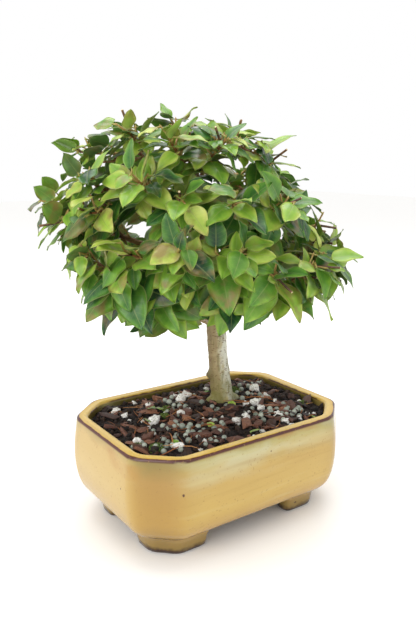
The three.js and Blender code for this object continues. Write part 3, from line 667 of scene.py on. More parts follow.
crack_place = add(tree, "Mapping", {"Vector": place, "Scale": (1, 1, 7)})
cracks = add(tree, "TexNoise", {"Vector": crack_place, "Scale": 210, "Detail": 4})  # 5 mm long
cracks = add(tree, "MapRange", {0: cracks}, span=(0.36, 0.3, 0, 0.7))
damp = add(tree, "MapRange", {0: height}, span=(0.098, 0.060))
algae = add(tree, "Math MULTIPLY", {0: damp, 1: patches})
algae = add(tree, "MapRange", {0: algae}, span=(0.14, 0.44, 0, 0.8))
for share, tint in (
    (streaks, "#817748"), (pores, "#7b5a3c"), (cracks, "#6d5236"), (algae, "#7c7838"), (at_knob, "#5c4f26"),
):
    colour = add(tree, "Mix", {0: share, 6: colour, 7: tint})
tree.links.new(colour, shader.inputs["Base Color"])
relief = add(tree, "Math SUBTRACT", {0: patches, 1: cracks})
bump = add(tree, "Bump", {"Height": relief, "Strength": 0.5, "Distance": 0.4 * MM})
tree.links.new(bump, shader.inputs["Normal"])
new_piece("bark_and_wood", wood_mesh, [bark], replaces=["trunk_and_limbs"])

# %% [markdown]
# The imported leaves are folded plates, but each one stands exactly where a real leaf stands. The two
# faces that meet at the tip have fixed proportions, so they can be found in any shoot by their
# side lengths alone. Their three corners give the leaf's length, its place and the way it
# faces. The lesson reads all leaves back this way, and then grows a curved blade on each.

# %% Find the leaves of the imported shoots
TOP_TO_WAIST, WAIST_TO_TIP, TIP_TO_TOP = 0.33425, 0.56754, 0.58620  # sides as shares of the length
MATCH = 0.003  # how closely the sides have to agree
SHORTEST_LEAF = 4 * MM
PLATE_TOP = Vector((0.42, 0, 0.025))
PLATE_TIP = Vector((1, 0, -0.06))
PLATE_HALF_WIDTH = 0.31
PLATE_WAIST = Vector((0.54, PLATE_HALF_WIDTH, 0.06))
STALK_START = Vector((-0.16, 0, 0))


def square_frame(a, b, c):
    """Three square axes from three corners, as the columns of a matrix."""
    x = (b - a).normalized()
    z = x.cross(c - a).normalized()
    return Matrix((x, z.cross(x), z)).transposed()


def find_leaves(mesh):
    """The place, the axes and the length of every leaf in a packed shoot."""
    found = []
    for face in mesh.polygons:
        corners = [mesh.vertices[i].co for i in face.vertices]
        for turn in range(3):
            a, b, c = (corners[(turn + k) % 3] for k in range(3))
            ab, bc, ca = (b - a).length, (c - b).length, (a - c).length
            length = bc / WAIST_TO_TIP
            if length < SHORTEST_LEAF or len(corners) != 3:
                continue
            if abs(ab / length - TIP_TO_TOP) < MATCH and abs(ca / length - TOP_TO_WAIST) < MATCH:
                tip, waist, side = b, c, 1
            elif abs(ab / length - TOP_TO_WAIST) < MATCH and abs(ca / length - TIP_TO_TOP) < MATCH:
                tip, waist, side = c, b, -1
            else:
                continue
            if any((tip - f["tip"]).length < 0.3 * MM for f in found):
                continue
            drawn_waist = Vector((PLATE_WAIST.x, side * PLATE_WAIST.y, PLATE_WAIST.z))
            drawn_axes = square_frame(PLATE_TOP, PLATE_TIP, drawn_waist)
            axes = square_frame(a, tip, waist) @ drawn_axes.transposed()
            start = a - axes @ PLATE_TOP * length
            found.append({"tip": tip.copy(), "start": start, "axes": axes, "length": length})
    return found


shoot_names = [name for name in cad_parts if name.startswith("shoot_")]
shoot_leaves = {name: find_leaves(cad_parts[name].data) for name in shoot_names}
leaf_total = sum(len(leaves) for leaves in shoot_leaves.values())
print(leaf_total, "leaves found on", len(shoot_names), "shoots")

# %% [markdown]
# A privet leaf is an oval with a drawn-out tip. It folds a little along its midrib, arches down
# towards the tip, and its edge waves slightly. One function makes that blade with a real
# thickness, and another the short stalk, both as closed skins. The blade also carries its own
# coordinates, so that veins and margins can be painted along it.

# %% Leaf blade
BLADE_STEPS = 12
HALF_STEPS = 4
LEAF_THICKNESS = 0.35 * MM
LEAF_HALF_WIDTH = 0.35  # as a share of the length
OUTLINE_PEAK = 0.4153  # the greatest value of the outline's formula


def grid_faces(rows, columns, first, flip):
    """Quads over a grid of points that starts at number first."""
    faces = []
    for r in range(rows - 1):
        for c in range(columns - 1):
            a = first + r * columns + c
            quad = (a, a + 1, a + columns + 1, a + columns)
            faces.append(quad[::-1] if flip else quad)
    return faces


def leaf_blade(leaf, dice):
    """Points, faces and painted measures of one blade."""
    length = leaf["length"]
    fold, arch = dice.uniform(0.04, 0.36), dice.uniform(0.7, 1.7)
    wave, phase = dice.uniform(0.01, 0.05), dice.uniform(0, 6.28)
    curl = dice.uniform(-0.05, 0.4)
    columns = 2 * HALF_STEPS + 1
    points = {1: [], -1: []}
    along, across = [], []
    for row in range(BLADE_STEPS + 1):
        t = 0.008 + 0.988 * (row / BLADE_STEPS) ** 1.1
        half = LEAF_HALF_WIDTH * t ** 0.45 * (1 - t) ** 0.95 / OUTLINE_PEAK
        for column in range(columns):
            v = (column - HALF_STEPS) / HALF_STEPS
            y = v * half
            z = 0.146 * t - 0.206 * arch * t * t + fold * abs(y) - curl * y * y / PLATE_HALF_WIDTH
            z += wave * v * v * math.sin(phase + 11 * t + v)
            for side in (1, -1):
                thick = side * LEAF_THICKNESS / 2 / length * (1 - 0.6 * v * v)
                place = leaf["start"] + leaf["axes"] @ Vector((t, y, z + thick)) * length
                points[side].append(place)
            along.append(t)
            across.append(v)
    count = len(along)
    faces = grid_faces(BLADE_STEPS + 1, columns, 0, True)
    faces += grid_faces(BLADE_STEPS + 1, columns, count, False)
    border = list(range(columns))
    border += [r * columns + columns - 1 for r in range(1, BLADE_STEPS + 1)]
    border += [BLADE_STEPS * columns + c for c in range(columns - 2, -1, -1)]
    border += [r * columns for r in range(BLADE_STEPS - 1, 0, -1)]
    for i, a in enumerate(border):
        b = border[(i + 1) % len(border)]
        faces.append((b, a, a + count, b + count))
    return points[1] + points[-1], faces, along * 2, across * 2, [1] * count + [0] * count


def tube(line, radii, sides=8):
    """Points and faces of a closed tube along a line."""
    points, faces = [], []
    across = None
    for i, p in enumerate(line):
        ahead = (line[min(i + 1, len(line) - 1)] - line[max(i - 1, 0)]).normalized()
        if across is None:
            across = Vector((0, 0, 1)) if abs(ahead.z) < 0.9 else Vector((1, 0, 0))
        other = ahead.cross(across).normalized()
        across = other.cross(ahead).normalized()
        for k in range(sides):
            turn = 2 * math.pi * k / sides
            points.append(p + (across * math.cos(turn) + other * math.sin(turn)) * radii[i])
    for r in range(len(line) - 1):
        for k in range(sides):
            a, b = r * sides + k, r * sides + (k + 1) % sides
            faces.append((a, a + sides, b + sides, b))
    faces.append(tuple(range(sides)))
    faces.append(tuple(range(len(points) - 1, len(points) - sides - 1, -1)))
    return points, faces


def painted_mesh(name, points, faces, measures):
    """A mesh that carries some measures, given as lists of numbers."""
    mesh = bpy.data.meshes.new(name)
    mesh.from_pydata(points, [], faces)
    for key, values in measures.items():
        carry(mesh, key, values)
    return mesh


def mesh_of_parts(name, parts):
    """One mesh from parts; a part has points, faces, a material number and painted measures."""
    points, faces, numbers = [], [], []
    measures = {key: [] for part in parts for key in part[3]}
    for part_points, part_faces, number, part_measures in parts:
        first = len(points)
        points += part_points
        faces += [tuple(i + first for i in face) for face in part_faces]
        numbers += [number] * len(part_faces)
        for key, values in measures.items():
            given = part_measures.get(key, 0.0)
            values += given if isinstance(given, list) else [given] * len(part_points)
    mesh = painted_mesh(name, points, faces, measures)
    mesh.polygons.foreach_set("material_index", numbers)
    return mesh


print("one blade has", BLADE_STEPS * HALF_STEPS * 4, "faces on its two sides")

# %% [markdown]
# Living leaves differ in age: the youngest are yellow green, the old ones in the shade dark and bluish, and
# some are touched with bronze. The tone of the imported leaves also rises with their height, partly for their
# age and partly as painted light on the top of the crown and painted shade lower in it. A wax layer gives all
# of them a soft gloss, and light that falls from behind shines through. The veins are painted and pressed in
# along the blade's own coordinates, and the margin is a thin pale line. The young twigs have a thin red-brown
# bark with a slight sheen, which turns yellow and then green on side twigs and stalks.

# %% Leaf and twig materials
leaf_skin, tree, shader = new_material("waxy_privet_leaf", 0.3, 1.48)
place = add(tree, "TexCoord", out="Object")
tone, along, across, upper, bronzed = [
    add(tree, "Attribute", attribute_name=name, out="Fac")
    for name in ("tone", "along", "across", "upper", "bronze")
]
mottle = add(tree, "TexNoise", {"Vector": place, "Scale": 190, "Detail": 3})  # 5 mm, between veins
age = add(tree, "Math MULTIPLY_ADD", {0: mottle, 1: 0.4, 2: tone})
from_rib = add(tree, "Math ABSOLUTE", {0: across})
outer = add(tree, "MapRange", {0: from_rib}, span=(0.3, 1.0, -0.14, 0.08))
age = add(tree, "Math ADD", {0: age, 1: outer})
green = add(tree, "ValToRGB", {"Fac": age}, [
    (0.05, "#23492f"), (0.25, "#457c33"), (0.48, "#76ab3c"), (0.68, "#a2cb49"), (0.86, "#c8dc62"),
    (1.0, "#dde37a"),
])
pale_green = add(tree, "Mix", {0: 0.45, 6: green, 7: "#8fa468"})
colour = add(tree, "Mix", {0: upper, 6: pale_green, 7: green})
slant = add(tree, "Math MULTIPLY_ADD", {0: from_rib, 1: -0.16, 2: along})
stripes = add(tree, "Math MULTIPLY", {0: slant, 1: 52.0})
stripes = add(tree, "Math SINE", {0: stripes})
veins = add(tree, "MapRange", {0: stripes}, span=(0.8, 1.0, 0, 0.1))
rib = add(tree, "MapRange", {0: from_rib}, span=(0.07, 0.02, 0, 0.4))
lines = add(tree, "Math MAXIMUM", {0: veins, 1: rib})
margin = add(tree, "MapRange", {0: from_rib}, span=(0.92, 1.0, 0, 0.6))
blotch = add(tree, "TexNoise", {"Vector": place, "Scale": 120, "Detail": 4})  # 8 mm
blotch = add(tree, "MapRange", {0: blotch}, span=(0.46, 0.66))
blotch = add(tree, "Math MULTIPLY", {0: blotch, 1: bronzed})
for share, tint in ((lines, "#a9b86a"), (margin, "#c2c886"), (blotch, "#a98a58")):
    colour = add(tree, "Mix", {0: share, 6: colour, 7: tint})
tree.links.new(colour, shader.inputs["Base Color"])
shader.inputs["Coat Weight"].default_value = 0.25
shader.inputs["Coat Roughness"].default_value = 0.18
grooves = add(tree, "Math MULTIPLY_ADD", {0: mottle, 1: 0.5, 2: lines})
bump = add(tree, "Bump", {"Height": grooves, "Strength": 0.4, "Distance": 0.25 * MM}, invert=True)
tree.links.new(bump, shader.inputs["Normal"])
glow = add(tree, "BsdfTranslucent", {"Color": colour, "Normal": bump})
both = add(tree, "MixShader", {0: 0.36, 1: shader.outputs[0], 2: glow})
tree.links.new(both, tree.nodes["Material Output"].inputs["Surface"])

twig_bark = toned_material("young_twig_bark", 0.5, [
    (0.2, "#463224"), (0.45, "#84572f"), (0.7, "#a8884c"), (0.9, "#93a04a"), (1.0, "#d9c49a"),
], {"Scale": 420, "Detail": 3}, 0.5)
print("leaf and twig materials made")

# %% [markdown]
# Each shoot is now rebuilt. Leaves that start at the same height of the twig form a pair. The twig
# is a smooth tapering tube that leaves the wood at the nearest place, passes every pair and ends in
# a small bud. Young side shoots with a pair of smaller leaves fill the crown, but only where they
# stay clear of the leaves that are already there. The helpers for all this come first.

# %% Leaves on a twig
LEAF_GAP = 1.2 * MM
NEAR_PACKED = 8 * MM  # a new leaf's tip lies at most this far from a packed leaf
LOWEST_LEAF = 82 * MM
LOW_CROWN, HIGH_CROWN = 160 * MM, 222 * MM  # leaves grow larger below the one, smaller above the other
dice = random.Random(11)


def leaf_line(leaf):
    """Places along a leaf's midrib and edges that keep other leaves away; the fourth is its tip."""
    midrib = [(0.25, 0), (0.5, 0), (0.75, 0), (1, 0)]
    edges = [(0.45, 0.24), (0.45, -0.24), (0.2, 0.17), (0.2, -0.17)]
    return [leaf["start"] + leaf["axes"] @ Vector((t, y, 0)) * leaf["length"] for t, y in midrib + edges]


def leaf_parts(leaf, dice):
    """The blade and stalk of one leaf, ready to be joined."""
    points, faces, along, across, upper = leaf_blade(leaf, dice)
    # The tone rises with height: partly the leaves' age, partly painted light on the crown's top and painted
    # shade below it.
    height_youth_and_light = (leaf["start"].z - 0.10) / 0.13
    tone = min(1.0, max(0.0, leaf.get("tone", 0.23 + 0.26 * height_youth_and_light + dice.uniform(-0.34, 0.3))))
    bronze = dice.choice((0.0, 0.0, 0.0, 0.35, 0.8))
    measures = {"along": along, "across": across, "upper": upper, "tone": tone, "bronze": bronze}
    stalk = [(-0.19, -0.015), (-0.1, -0.004), (0, 0.0), (0.08, 0.006)]
    line = [leaf["start"] + leaf["axes"] @ Vector((t, 0, z)) * leaf["length"] for t, z in stalk]
    stalk_skin = tube(line, [0.62 * MM, 0.5 * MM, 0.42 * MM, 0.3 * MM], 6)
    return [(points, faces, 0, measures), (*stalk_skin, 1, {"tone": 0.55})]


for leaves in shoot_leaves.values():
    for leaf in leaves:
        start = leaf["start"].z
        leaf["length"] *= 1.12 if start < LOW_CROWN else 1.02 if start < HIGH_CROWN else 0.9
taken = np.array([p for leaves in shoot_leaves.values() for leaf in leaves for p in leaf_line(leaf)])
packed = taken
crown_middle = Vector(taken.mean(axis=0))
extra_total = 0
room_low = np.array(cad_low) - 4 * MM
room_high = np.array(cad_high) + (4 * MM, 4 * MM, -8 * MM)


def fits(leaf):
    """True when a new leaf ends near a packed one, but stays clear of all others and of the wood."""
    line = leaf_line(leaf)
    places = np.array(line)
    if (places < room_low).any() or (places > room_high).any() or places[:, 2].min() < LOWEST_LEAF:
        return False
    if min(wood_tree.find_nearest(p)[3] for p in line) < LEAF_GAP:
        return False
    if ((places[3] - packed) ** 2).sum(axis=1).min() > NEAR_PACKED ** 2:
        return False
    return ((places[:, None] - taken[None]) ** 2).sum(axis=2).min() > (2.1 * LEAF_GAP) ** 2


def drift(spread):
    """A random direction that leans no way in particular."""
    return Vector([dice.gauss(0, spread) for _ in range(3)])


def side_shoot(spot, heading, parts):
    """Adds a young shoot with a pair of leaves where they fit, and returns how many leaves it got."""
    global taken
    heading = heading.normalized()
    outward = (spot - crown_middle).normalized()
    end = spot + heading * dice.uniform(3, 10) * MM
    side = Matrix.Rotation(dice.uniform(0, 6.28), 3, heading) @ heading.orthogonal().normalized()
    new = []
    for sign in (1, -1):
        length = dice.uniform(11, 19) * MM
        ahead = heading * dice.uniform(0.3, 0.9)
        x = (ahead + side * sign + Vector((0, 0, -dice.uniform(0.1, 0.9)))).normalized()
        z = Vector((0, 0, 0.6)) + outward * 0.5 + heading * 0.3 + drift(0.25)
        z = (z - x * z.dot(x)).normalized()
        leaf = {
            "axes": Matrix((x, z.cross(x), z)).transposed(), "length": length,
            "start": end + x * 0.17 * length, "tone": 0.36 + dice.uniform(-0.34, 0.42),
        }
        if fits(leaf):
            new.append(leaf)
    if new:
        line = [spot, spot.lerp(end, 0.5) + side * 0.3 * MM, end, end + heading * 1.2 * MM]
        parts.append((*tube(line, [0.7 * MM, 0.6 * MM, 0.55 * MM, 0.15 * MM], 6), 1, {"tone": 0.45}))
    for leaf in new:
        parts += leaf_parts(leaf, dice)
        taken = np.vstack([taken, leaf_line(leaf)])
    return len(new)


print("the packed leaves keep", len(packed), "places clear")

# %% [markdown]
# Now every shoot grows in turn: its twig, its own leaves, and then as many side shoots as fit round
# them. Some twigs also carry the dark stump of an old cut with a pale end. The limbs inside the
# crown bear a few leaves of their own, so that no daylight shows through it.

# %% Grow the shoots
SIDE_SHOOT_TRIES = 60  # for each packed shoot
INNER_TRIES = 1000
STUMP_SHARES = (0.5, 0.85)  # where along a twig a stump may stand

for name, leaves in shoot_leaves.items():
    joints = []
    for leaf in leaves:
        base = leaf["start"] + leaf["axes"] @ STALK_START * leaf["length"]
        close = [j for j in joints if (j[0] - base).length < 2.6 * MM]
        if close:
            close[0].append(base)
        else:
            joints.append([base])
    pairs = [sum(j, Vector()) / len(j) for j in joints]
    foot = wood_tree.find_nearest(min(pairs, key=lambda p: wood_tree.find_nearest(p)[3]))[0]
    pairs.sort(key=lambda p: (p - foot).length)
    into_wood = (foot - pairs[0]).normalized() * 0.8 * MM
    ahead = (pairs[-1] - foot).normalized()
    stations = [foot + into_wood, foot, *pairs, pairs[-1] + ahead * 1.6 * MM]
    line = [Vector(p) for p in smooth_line(stations, 1.6 * MM)]
    radii = [(1.15 - 0.6 * i / (len(line) - 1)) * MM for i in range(len(line))]
    radii[-1] = 0.2 * MM
    parts = [(*tube(line, radii), 1, {"tone": 0.2})]
    for leaf in leaves:
        parts += leaf_parts(leaf, dice)
    for _ in range(SIDE_SHOOT_TRIES):
        spot = dice.choice(line[1:-1])
        heading = drift(0.55) + (spot - crown_middle).normalized() * 0.7
        extra_total += side_shoot(spot, heading + Vector((0, 0, 0.25)), parts)
    for share in STUMP_SHARES:
        if dice.random() < 0.4:
            continue
        spot = line[int(share * len(line))]
        heading = ((spot - crown_middle).normalized() + drift(0.3)).normalized()
        reach = dice.uniform(8, 17) * MM
        if spot.z + heading.z * reach > cad_high[2] - 6 * MM:
            continue
        stub = [spot + heading * reach * t for t in (0, 0.35, 0.7, 0.985, 1)]
        wide = [t * MM for t in (0.8, 0.72, 0.68, 0.68, 0.62)]
        tones = [0.0] * 24 + [0.05] * 8 + [1.0] * 8
        parts.append((*tube(stub, wide), 1, {"tone": tones}))
    mesh = mesh_of_parts(name, parts)
    new_piece("leafy_" + name, mesh, [leaf_skin, twig_bark], replaces=[name])
parts = []
inner_wood = [v.co for v in wood_mesh.vertices if 112 * MM < v.co.z < 215 * MM]
for spot in dice.sample(inner_wood, INNER_TRIES):
    heading = drift(0.6) + (spot - crown_middle).normalized() * 0.8
    extra_total += side_shoot(spot.copy(), heading, parts)
mesh = mesh_of_parts("inner_leaves", parts)
new_piece("inner_leaves", mesh, [leaf_skin, twig_bark])
print(leaf_total + extra_total, "leaves grown,", extra_total, "of them on side shoots")

# %% [markdown]
# The soil is a potting mix with a lot in it: dark crumbs, red-brown bark, white perlite, grey-green
# beads of fertiliser, fibres, moss and a few fallen bits of leaf. Under them lies one uneven
# surface that fills the pot to the wall. It is a skin like the pot's own, because it has to
# follow the inside of the wall at every height. Water makes the mix nearly black, and its loose
# grains scatter the light, so it shows no gloss.

# %% Soil surface
SOIL_EDGE = 60 * MM
SOIL_INSET = 7.1 * MM  # the soil's edge lies this far inside the rim line
SOIL_RISE = soil_high.z - SOIL_EDGE
SOIL_REACH = 40 * MM  # the surface stops rising this far from the wall


def ground(x, y):
    """The soil's height at a place."""
    depth = min(1.0, max(0.0, -outside_rim(x, y) - SOIL_INSET) / SOIL_REACH)
    # Humps 17 and 5 mm apart, in millimetres, that fade out at the wall.
    bumps = 0.9 * noise.noise(Vector((x, y, 0.3)) * 60) + 0.7 * noise.noise(Vector((x, y, 0.7)) * 190)
    return SOIL_EDGE + SOIL_RISE * (1 - (1 - depth) ** 2) * 0.8 + bumps * MM * min(1.0, depth * 8)


soil_profile = [
    (15.3, -22.4), (16.5, -16.9), (20, -11.9), (27, -8.4), (36, -6.3), (46, -5.8), (55, -6.4), (59.4, -7.1),
]  # height and offset in millimetres
soil_line = smooth_line([(z * MM, offset * MM) for z, offset in soil_profile], 4 * MM)
rings = pot_rings(soil_line)
edge = [p + pot_middle.xy for p in pot_outline(-SOIL_INSET)]
for share in np.linspace(1, 0.01, 50):
    places = [pot_middle.xy.lerp(p, share) for p in edge]
    rings.append([(p.x, p.y, ground(p.x, p.y)) for p in places])
soil_mesh = to_mesh("soil", loft(rings))
carry(soil_mesh, "tone", [0.2] * len(soil_mesh.vertices))

earth = toned_material("moist_potting_mix", 0.85, [
    (0.3, "#120c0a"), (0.6, "#2a1c16"), (0.9, "#46301f"), (1.0, "#6a4a2e"),
], {"Scale": 520, "Detail": 5, "Roughness": 0.65}, 0.6, (1.0, 1.2))
new_piece("soil_surface", soil_mesh, [earth], replaces=["soil"])
print("the soil stands", round(SOIL_EDGE / MM), "to", round(soil_high.z / MM), "mm high")

# %% [markdown]
# The loose pieces are made from a few lumps of each kind. A lump is a small ball pushed in and out by noise,
# or the hull of some random points for the split, angular bark. Each is laid down many times with its own
# turn, size and tone, and all of one kind form one piece.

# %% Lumps and how they are strewn
def taken_apart(made):
    """The points and faces of a bmesh, which is then freed."""
    made.verts.index_update()
    points = np.array([v.co for v in made.verts])
    faces = [tuple(v.index for v in f.verts) for f in made.faces]
    made.free()
    return points, faces


def lump(seed, subdivisions, roughness, frequency):
    """A unit ball pushed in and out by noise, as points and faces."""
    made = bmesh.new()
    bmesh.ops.create_icosphere(made, subdivisions=subdivisions, radius=0.5)
    shift = Vector((seed * 7.3, seed * 3.1, seed * 5.7))
    for vertex in made.verts:
        vertex.co *= 1 + roughness * noise.fractal(vertex.co * frequency + shift, 1.0, 2.0, 2)
    return taken_apart(made)


def splinter(seed):
    """An angular split flake of unit size, its faces broken up along the grain."""
    roll = random.Random(seed)
    made = bmesh.new()
    for _ in range(13):
        made.verts.new([roll.uniform(-0.5, 0.5) for _ in range(3)])
    hull = bmesh.ops.convex_hull(made, input=made.verts)
    inside = [v for v in hull["geom_interior"] if isinstance(v, bmesh.types.BMVert)]
    bmesh.ops.delete(made, geom=inside, context="VERTS")
    bmesh.ops.subdivide_edges(made, edges=made.edges, cuts=2, use_grid_fill=True)
    bmesh.ops.triangulate(made, faces=made.faces)
    for vertex in made.verts:
        grain = Vector((vertex.co.x * 1.5, vertex.co.y * 7, vertex.co.z * 5 + seed * 4.1))
        vertex.co *= 1 + 0.16 * noise.noise(grain)
    return taken_apart(made)


def strew(name, shapes, places, material, sharp=None):
    """One piece of many lumps; a place is its centre, turn, size along three axes and tone."""
    points, faces, tones, grain = [], [], [], []
    first = 0
    for i, (centre, turn, size, tone) in enumerate(places):
        shape, shape_faces = shapes[i % len(shapes)]
        points.append((shape * np.array(size)) @ np.array(turn).T + np.array(centre))
        faces += [tuple(k + first for k in face) for face in shape_faces]
        tones += [tone] * len(shape)
        grain += list(shape[:, 1] * size[1] / MM + tone * 50)
        first += len(shape)
    measures = {"tone": tones, "grain": grain}
    mesh = painted_mesh(name, np.concatenate(points).tolist(), faces, measures)
    new_piece(name, mesh, [material])
    if sharp:
        mesh.set_sharp_from_angle(angle=math.radians(sharp))
    print(name, "has", len(places), "lumps")


trunk_low = [v.co for v in wood_mesh.vertices if 61 * MM < v.co.z < 65 * MM]
trunk_foot = sum(trunk_low, Vector()) / len(trunk_low)
TRUNK_FOOT_RADIUS = 9.5 * MM


def any_place(roll, margin):
    """A random place on the soil, away from the wall by margin and outside the trunk."""
    while True:
        x = pot_middle.x + roll.uniform(-HALF_LENGTH, HALF_LENGTH)
        y = pot_middle.y + roll.uniform(-HALF_WIDTH, HALF_WIDTH)
        clear = math.hypot(x - trunk_foot.x, y - trunk_foot.y) > TRUNK_FOOT_RADIUS + margin * 0.4
        if outside_rim(x, y) < -SOIL_INSET - margin and clear:
            return x, y


def any_turn(roll, tilt):
    """A random turn with at most the given tilt."""
    spin = Matrix.Rotation(roll.uniform(0, 6.28), 3, "Z")
    lean = roll.uniform(-tilt, tilt)
    axis = Vector((roll.gauss(0, 1), roll.gauss(0, 1), 0.01)).normalized()
    return Matrix.Rotation(lean, 3, axis) @ spin



print("the trunk meets the soil at", [round(c / MM) for c in trunk_foot.xy])

# %% [markdown]
# First the crumbs, which break up the surface everywhere, and then the bark. Composted pine bark
# splits into flat flakes with a clear grain, red brown where the break is fresh and nearly black
# where it is wet, so its tone varies from flake to flake and streaks run along the grain.

# %% Crumbs and bark
CRUMBS = 1500
FLAKES = 230
roll = random.Random(5)
crumbs = []
for _ in range(CRUMBS):
    x, y = any_place(roll, 0.8 * MM)
    size = roll.uniform(1.0, 2.2) ** 2 * MM
    turn = any_turn(roll, 3)
    sizes = (size, size * roll.uniform(0.6, 1), size * roll.uniform(0.5, 0.9))
    crumbs.append(((x, y, ground(x, y) + size * 0.15), turn, sizes, roll.uniform(0, 0.5)))
strew("soil_crumbs", [lump(s, 2, 0.6, 2.4) for s in range(7)], crumbs, earth)

chip_wood, tree, shader = new_material("composted_pine_bark", 0.6)
place = add(tree, "TexCoord", out="Object")
tone = add(tree, "Attribute", attribute_name="tone", out="Fac")
grain = add(tree, "Attribute", attribute_name="grain", out="Fac")
streaks = add(tree, "TexNoise", {"W": grain, "Scale": 2.2, "Detail": 3}, noise_dimensions="1D")
fleck = add(tree, "TexNoise", {"Vector": place, "Scale": 600, "Detail": 3})
mixed = add(tree, "Math MULTIPLY_ADD", {0: streaks, 1: 0.4, 2: tone})
mixed = add(tree, "Math MULTIPLY_ADD", {0: fleck, 1: 0.25, 2: mixed})
colour = add(tree, "ValToRGB", {"Fac": mixed}, [
    (0.3, "#1a100d"), (0.52, "#40251b"), (0.72, "#6b4232"), (0.9, "#96664a"), (1.0, "#b98a68"),
])
tree.links.new(colour, shader.inputs["Base Color"])
bump = add(tree, "Bump", {"Height": mixed, "Strength": 0.7, "Distance": 0.5 * MM})
tree.links.new(bump, shader.inputs["Normal"])
flakes = []
for _ in range(FLAKES):
    long = roll.uniform(5, 16) * MM
    x, y = any_place(roll, long * 0.32)
    sizes = (long, long * roll.uniform(0.3, 0.6), roll.uniform(1.4, 3.2) * MM)
    centre = (x, y, ground(x, y) + roll.uniform(0.4, 2.2) * MM)
    flakes.append((centre, any_turn(roll, 0.6), sizes, roll.uniform(0, 0.55)))
strew("bark_flakes", [splinter(s) for s in range(9)], flakes, chip_wood, 32)

# %% [markdown]
# Perlite is volcanic glass, puffed by heat into white crumbs with a dull, bubbly skin. The
# fertiliser comes as round beads with a smooth resin coat, all of one size, that have rolled
# together into groups.

# %% Perlite and fertiliser beads
PERLITE_CRUMBS = 54
BEADS = 118  # or a few more, as the last group is laid down whole
perlite_skin = toned_material("expanded_perlite", 0.9, [
    (0.3, "#b9b2a6"), (0.5, "#e9e6df"), (0.7, "#fbfaf6"),
], {"Scale": 900, "Detail": 3}, relief=(0.8, 0.6))
puffs = []
for _ in range(PERLITE_CRUMBS):
    size = roll.uniform(1.3, 2.5) ** 2 * MM
    x, y = any_place(roll, size * 0.5)
    turn = any_turn(roll, 3)
    sizes = (size, size * roll.uniform(0.6, 1), size * roll.uniform(0.6, 0.9))
    puffs.append(((x, y, ground(x, y) + size * 0.3), turn, sizes, 0.5))
strew("perlite_crumbs", [lump(s + 20, 3, 0.7, 2.2) for s in range(6)], puffs, perlite_skin)

bead_skin = toned_material("resin_coated_fertiliser", 0.38, [
    (0.2, "#6a7264"), (0.6, "#9aa194"), (1.0, "#bdc2b0"),
], {"Scale": 500, "Detail": 2}, 0.5)
beads = []
while len(beads) < BEADS:
    cx, cy = any_place(roll, 5 * MM)
    for _ in range(roll.randint(3, 12)):
        x, y = cx + roll.gauss(0, 4.2) * MM, cy + roll.gauss(0, 4.2) * MM
        size = roll.uniform(2.9, 3.7) * MM
        centre = Vector((x, y, ground(x, y) + size * roll.uniform(0.25, 0.6)))
        crowded = any((centre - Vector(b[0])).length < size * 0.95 for b in beads)
        if outside_rim(x, y) < -SOIL_INSET - size * 0.5 and not crowded:
            if (centre.xy - trunk_foot.xy).length > TRUNK_FOOT_RADIUS + size * 0.5:
                beads.append((centre, any_turn(roll, 3), (size, size, size), roll.uniform(0, 0.6)))
strew("fertiliser_beads", [lump(s + 40, 3, 0.05, 2) for s in range(3)], beads, bead_skin)

# %% [markdown]
# Orange-brown fibres and thin dead twigs lie across it all, and some small leaves have fallen.
# Both are dry and dull. Moss grows where the mix stays damp, as a low cushion of separate green
# points, so fine that it looks like velvet.

# %% Fibres, fallen leaves and moss
FIBRES = 62  # less the few that would touch the wall or the trunk
FALLEN_LEAVES = 9
MOSS_PATCHES = 5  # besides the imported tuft
fibre_skin = toned_material("coir_and_dead_twigs", 0.7, [
    (0.0, "#4a2c1c"), (0.5, "#9a5a2c"), (1.0, "#c58a52"),
])
fibres = []
for _ in range(FIBRES):
    x, y = any_place(roll, 6 * MM)
    heading = Matrix.Rotation(roll.uniform(0, 6.28), 2)
    long = roll.uniform(6, 24) * MM
    bend = roll.uniform(-0.14, 0.14)
    line = []
    for t in np.linspace(-0.5, 0.5, 9):
        p = Vector((x, y)) + heading @ Vector((t * long, bend * long * (t * t * 4 - 1)))
        lift = (2.2 + 0.8 * math.sin(3 * t + x * 900)) * MM
        line.append(Vector((p.x, p.y, ground(p.x, p.y) + lift)))
    if all(outside_rim(p.x, p.y) < -SOIL_INSET - 0.6 * MM for p in line):
        if all((p.xy - trunk_foot.xy).length > TRUNK_FOOT_RADIUS for p in line):
            thick = roll.uniform(0.2, 0.45) * MM
            radii = [thick * (1 - 0.6 * abs(t)) for t in np.linspace(-1, 1, 9)]
            fibres.append((*tube(line, radii, 6), 0, {"tone": roll.random()}))
new_piece("soil_fibres", mesh_of_parts("soil_fibres", fibres), [fibre_skin])

fallen = []
for _ in range(FALLEN_LEAVES):
    x, y = any_place(roll, 6 * MM)
    start = Vector((x, y, ground(x, y) + 2.6 * MM))
    leaf = {"start": start, "axes": any_turn(roll, 0.5), "length": roll.uniform(5, 10) * MM}
    points, faces, along, across, upper = leaf_blade(leaf, roll)
    measures = {"along": along, "across": across, "upper": upper, "tone": roll.uniform(0.3, 0.8)}
    fallen.append((points, faces, 0, {**measures, "bronze": roll.choice((0.0, 1.0))}))
new_piece("fallen_leaves", mesh_of_parts("fallen_leaves", fallen), [leaf_skin])

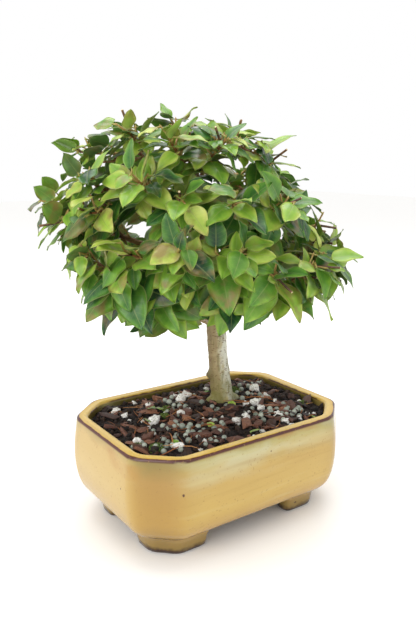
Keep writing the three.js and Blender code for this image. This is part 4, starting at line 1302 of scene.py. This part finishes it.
moss_skin = toned_material("cushion_moss", 0.85, [(0.0, "#1f2e12"), (0.6, "#4c6426"), (1.0, "#83903c")])
moss_low, moss_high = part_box("moss_tuft")
moss_spots = [((moss_low + moss_high) / 2, 6.5 * MM, 900)]
for _ in range(MOSS_PATCHES):
    x, y = any_place(roll, 5 * MM)
    moss_spots.append((Vector((x, y, 0)), roll.uniform(2.5, 5) * MM, 220))
for number, (middle, radius, count) in enumerate(moss_spots):
    tips = []
    for _ in range(count):
        turn, far = roll.uniform(0, 6.28), radius * math.sqrt(roll.random())
        x, y = middle.x + far * math.cos(turn), middle.y + far * math.sin(turn)
        rise = (1 - (far / radius) ** 2) * radius * 0.42
        root = Vector((x, y, ground(x, y) - 0.4 * MM))
        growth = Vector((roll.gauss(0, 0.4), roll.gauss(0, 0.4), 1.2 + roll.random())) * MM
        tip = root + growth + Vector((0, 0, rise))
        point = tube([root, root.lerp(tip, 0.6), tip], [0.5 * MM, 0.42 * MM, 0.08 * MM], 5)
        tips.append((*point, 0, {"tone": min(1, max(0, roll.gauss(0.55, 0.25)))}))
    packed_tuft = number == 0
    name = "moss_cushion" if packed_tuft else "moss_patch_%d" % number
    replaces = ["moss_tuft"] if packed_tuft else ()
    new_piece(name, mesh_of_parts(name, tips), [moss_skin], replaces=replaces)
print(len(fibres), "fibres,", len(fallen), "fallen leaves,", len(moss_spots), "patches of moss")

# %% [markdown]
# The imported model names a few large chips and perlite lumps. They keep their place and size, but
# their facets are divided and roughened, so that they belong with the rest. The nets over the
# drainage holes already have their shape and only need their material, a black moulded plastic
# with a soft sheen.

# %% Named chips, perlite and nets
def roughened(node, cuts, amount, frequency, smooth):
    """A packed lump with its facets divided and pushed in and out along their normals."""
    made = bmesh.new()
    made.from_mesh(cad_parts[node].data)
    bmesh.ops.remove_doubles(made, verts=made.verts, dist=0.01 * MM)
    bmesh.ops.subdivide_edges(made, edges=made.edges, cuts=cuts, use_grid_fill=True, smooth=smooth)
    bmesh.ops.triangulate(made, faces=made.faces)
    made.normal_update()
    moved = [v.co + v.normal * amount * noise.noise(v.co * frequency) for v in made.verts]
    for vertex, p in zip(made.verts, moved):
        vertex.co = p
    return to_mesh(node, made)


for node in [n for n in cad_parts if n.startswith("bark_chip_")]:
    mesh = roughened(node, 5, 0.5 * MM, 700, 0.0)
    carry(mesh, "tone", [0.35] * len(mesh.vertices))
    carry(mesh, "grain", [v.co.y / MM for v in mesh.vertices])
    new_piece("rough_" + node, mesh, [chip_wood], replaces=[node])
    mesh.set_sharp_from_angle(angle=math.radians(40))
for node in [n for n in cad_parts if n.startswith("perlite_")]:
    mesh = roughened(node, 5, 0.7 * MM, 500, 0.7)
    new_piece("rough_" + node, mesh, [perlite_skin], replaces=[node])

net = toned_material("moulded_plastic_net", 0.5, [
    (0.35, "#17191b"), (0.7, "#34383b"),
], {"Scale": 300, "Detail": 3})
for node in [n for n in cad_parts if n.startswith("drain_screen_")]:
    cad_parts[node].data.materials.clear()
    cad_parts[node].data.materials.append(net)
print("the named lumps are roughened")
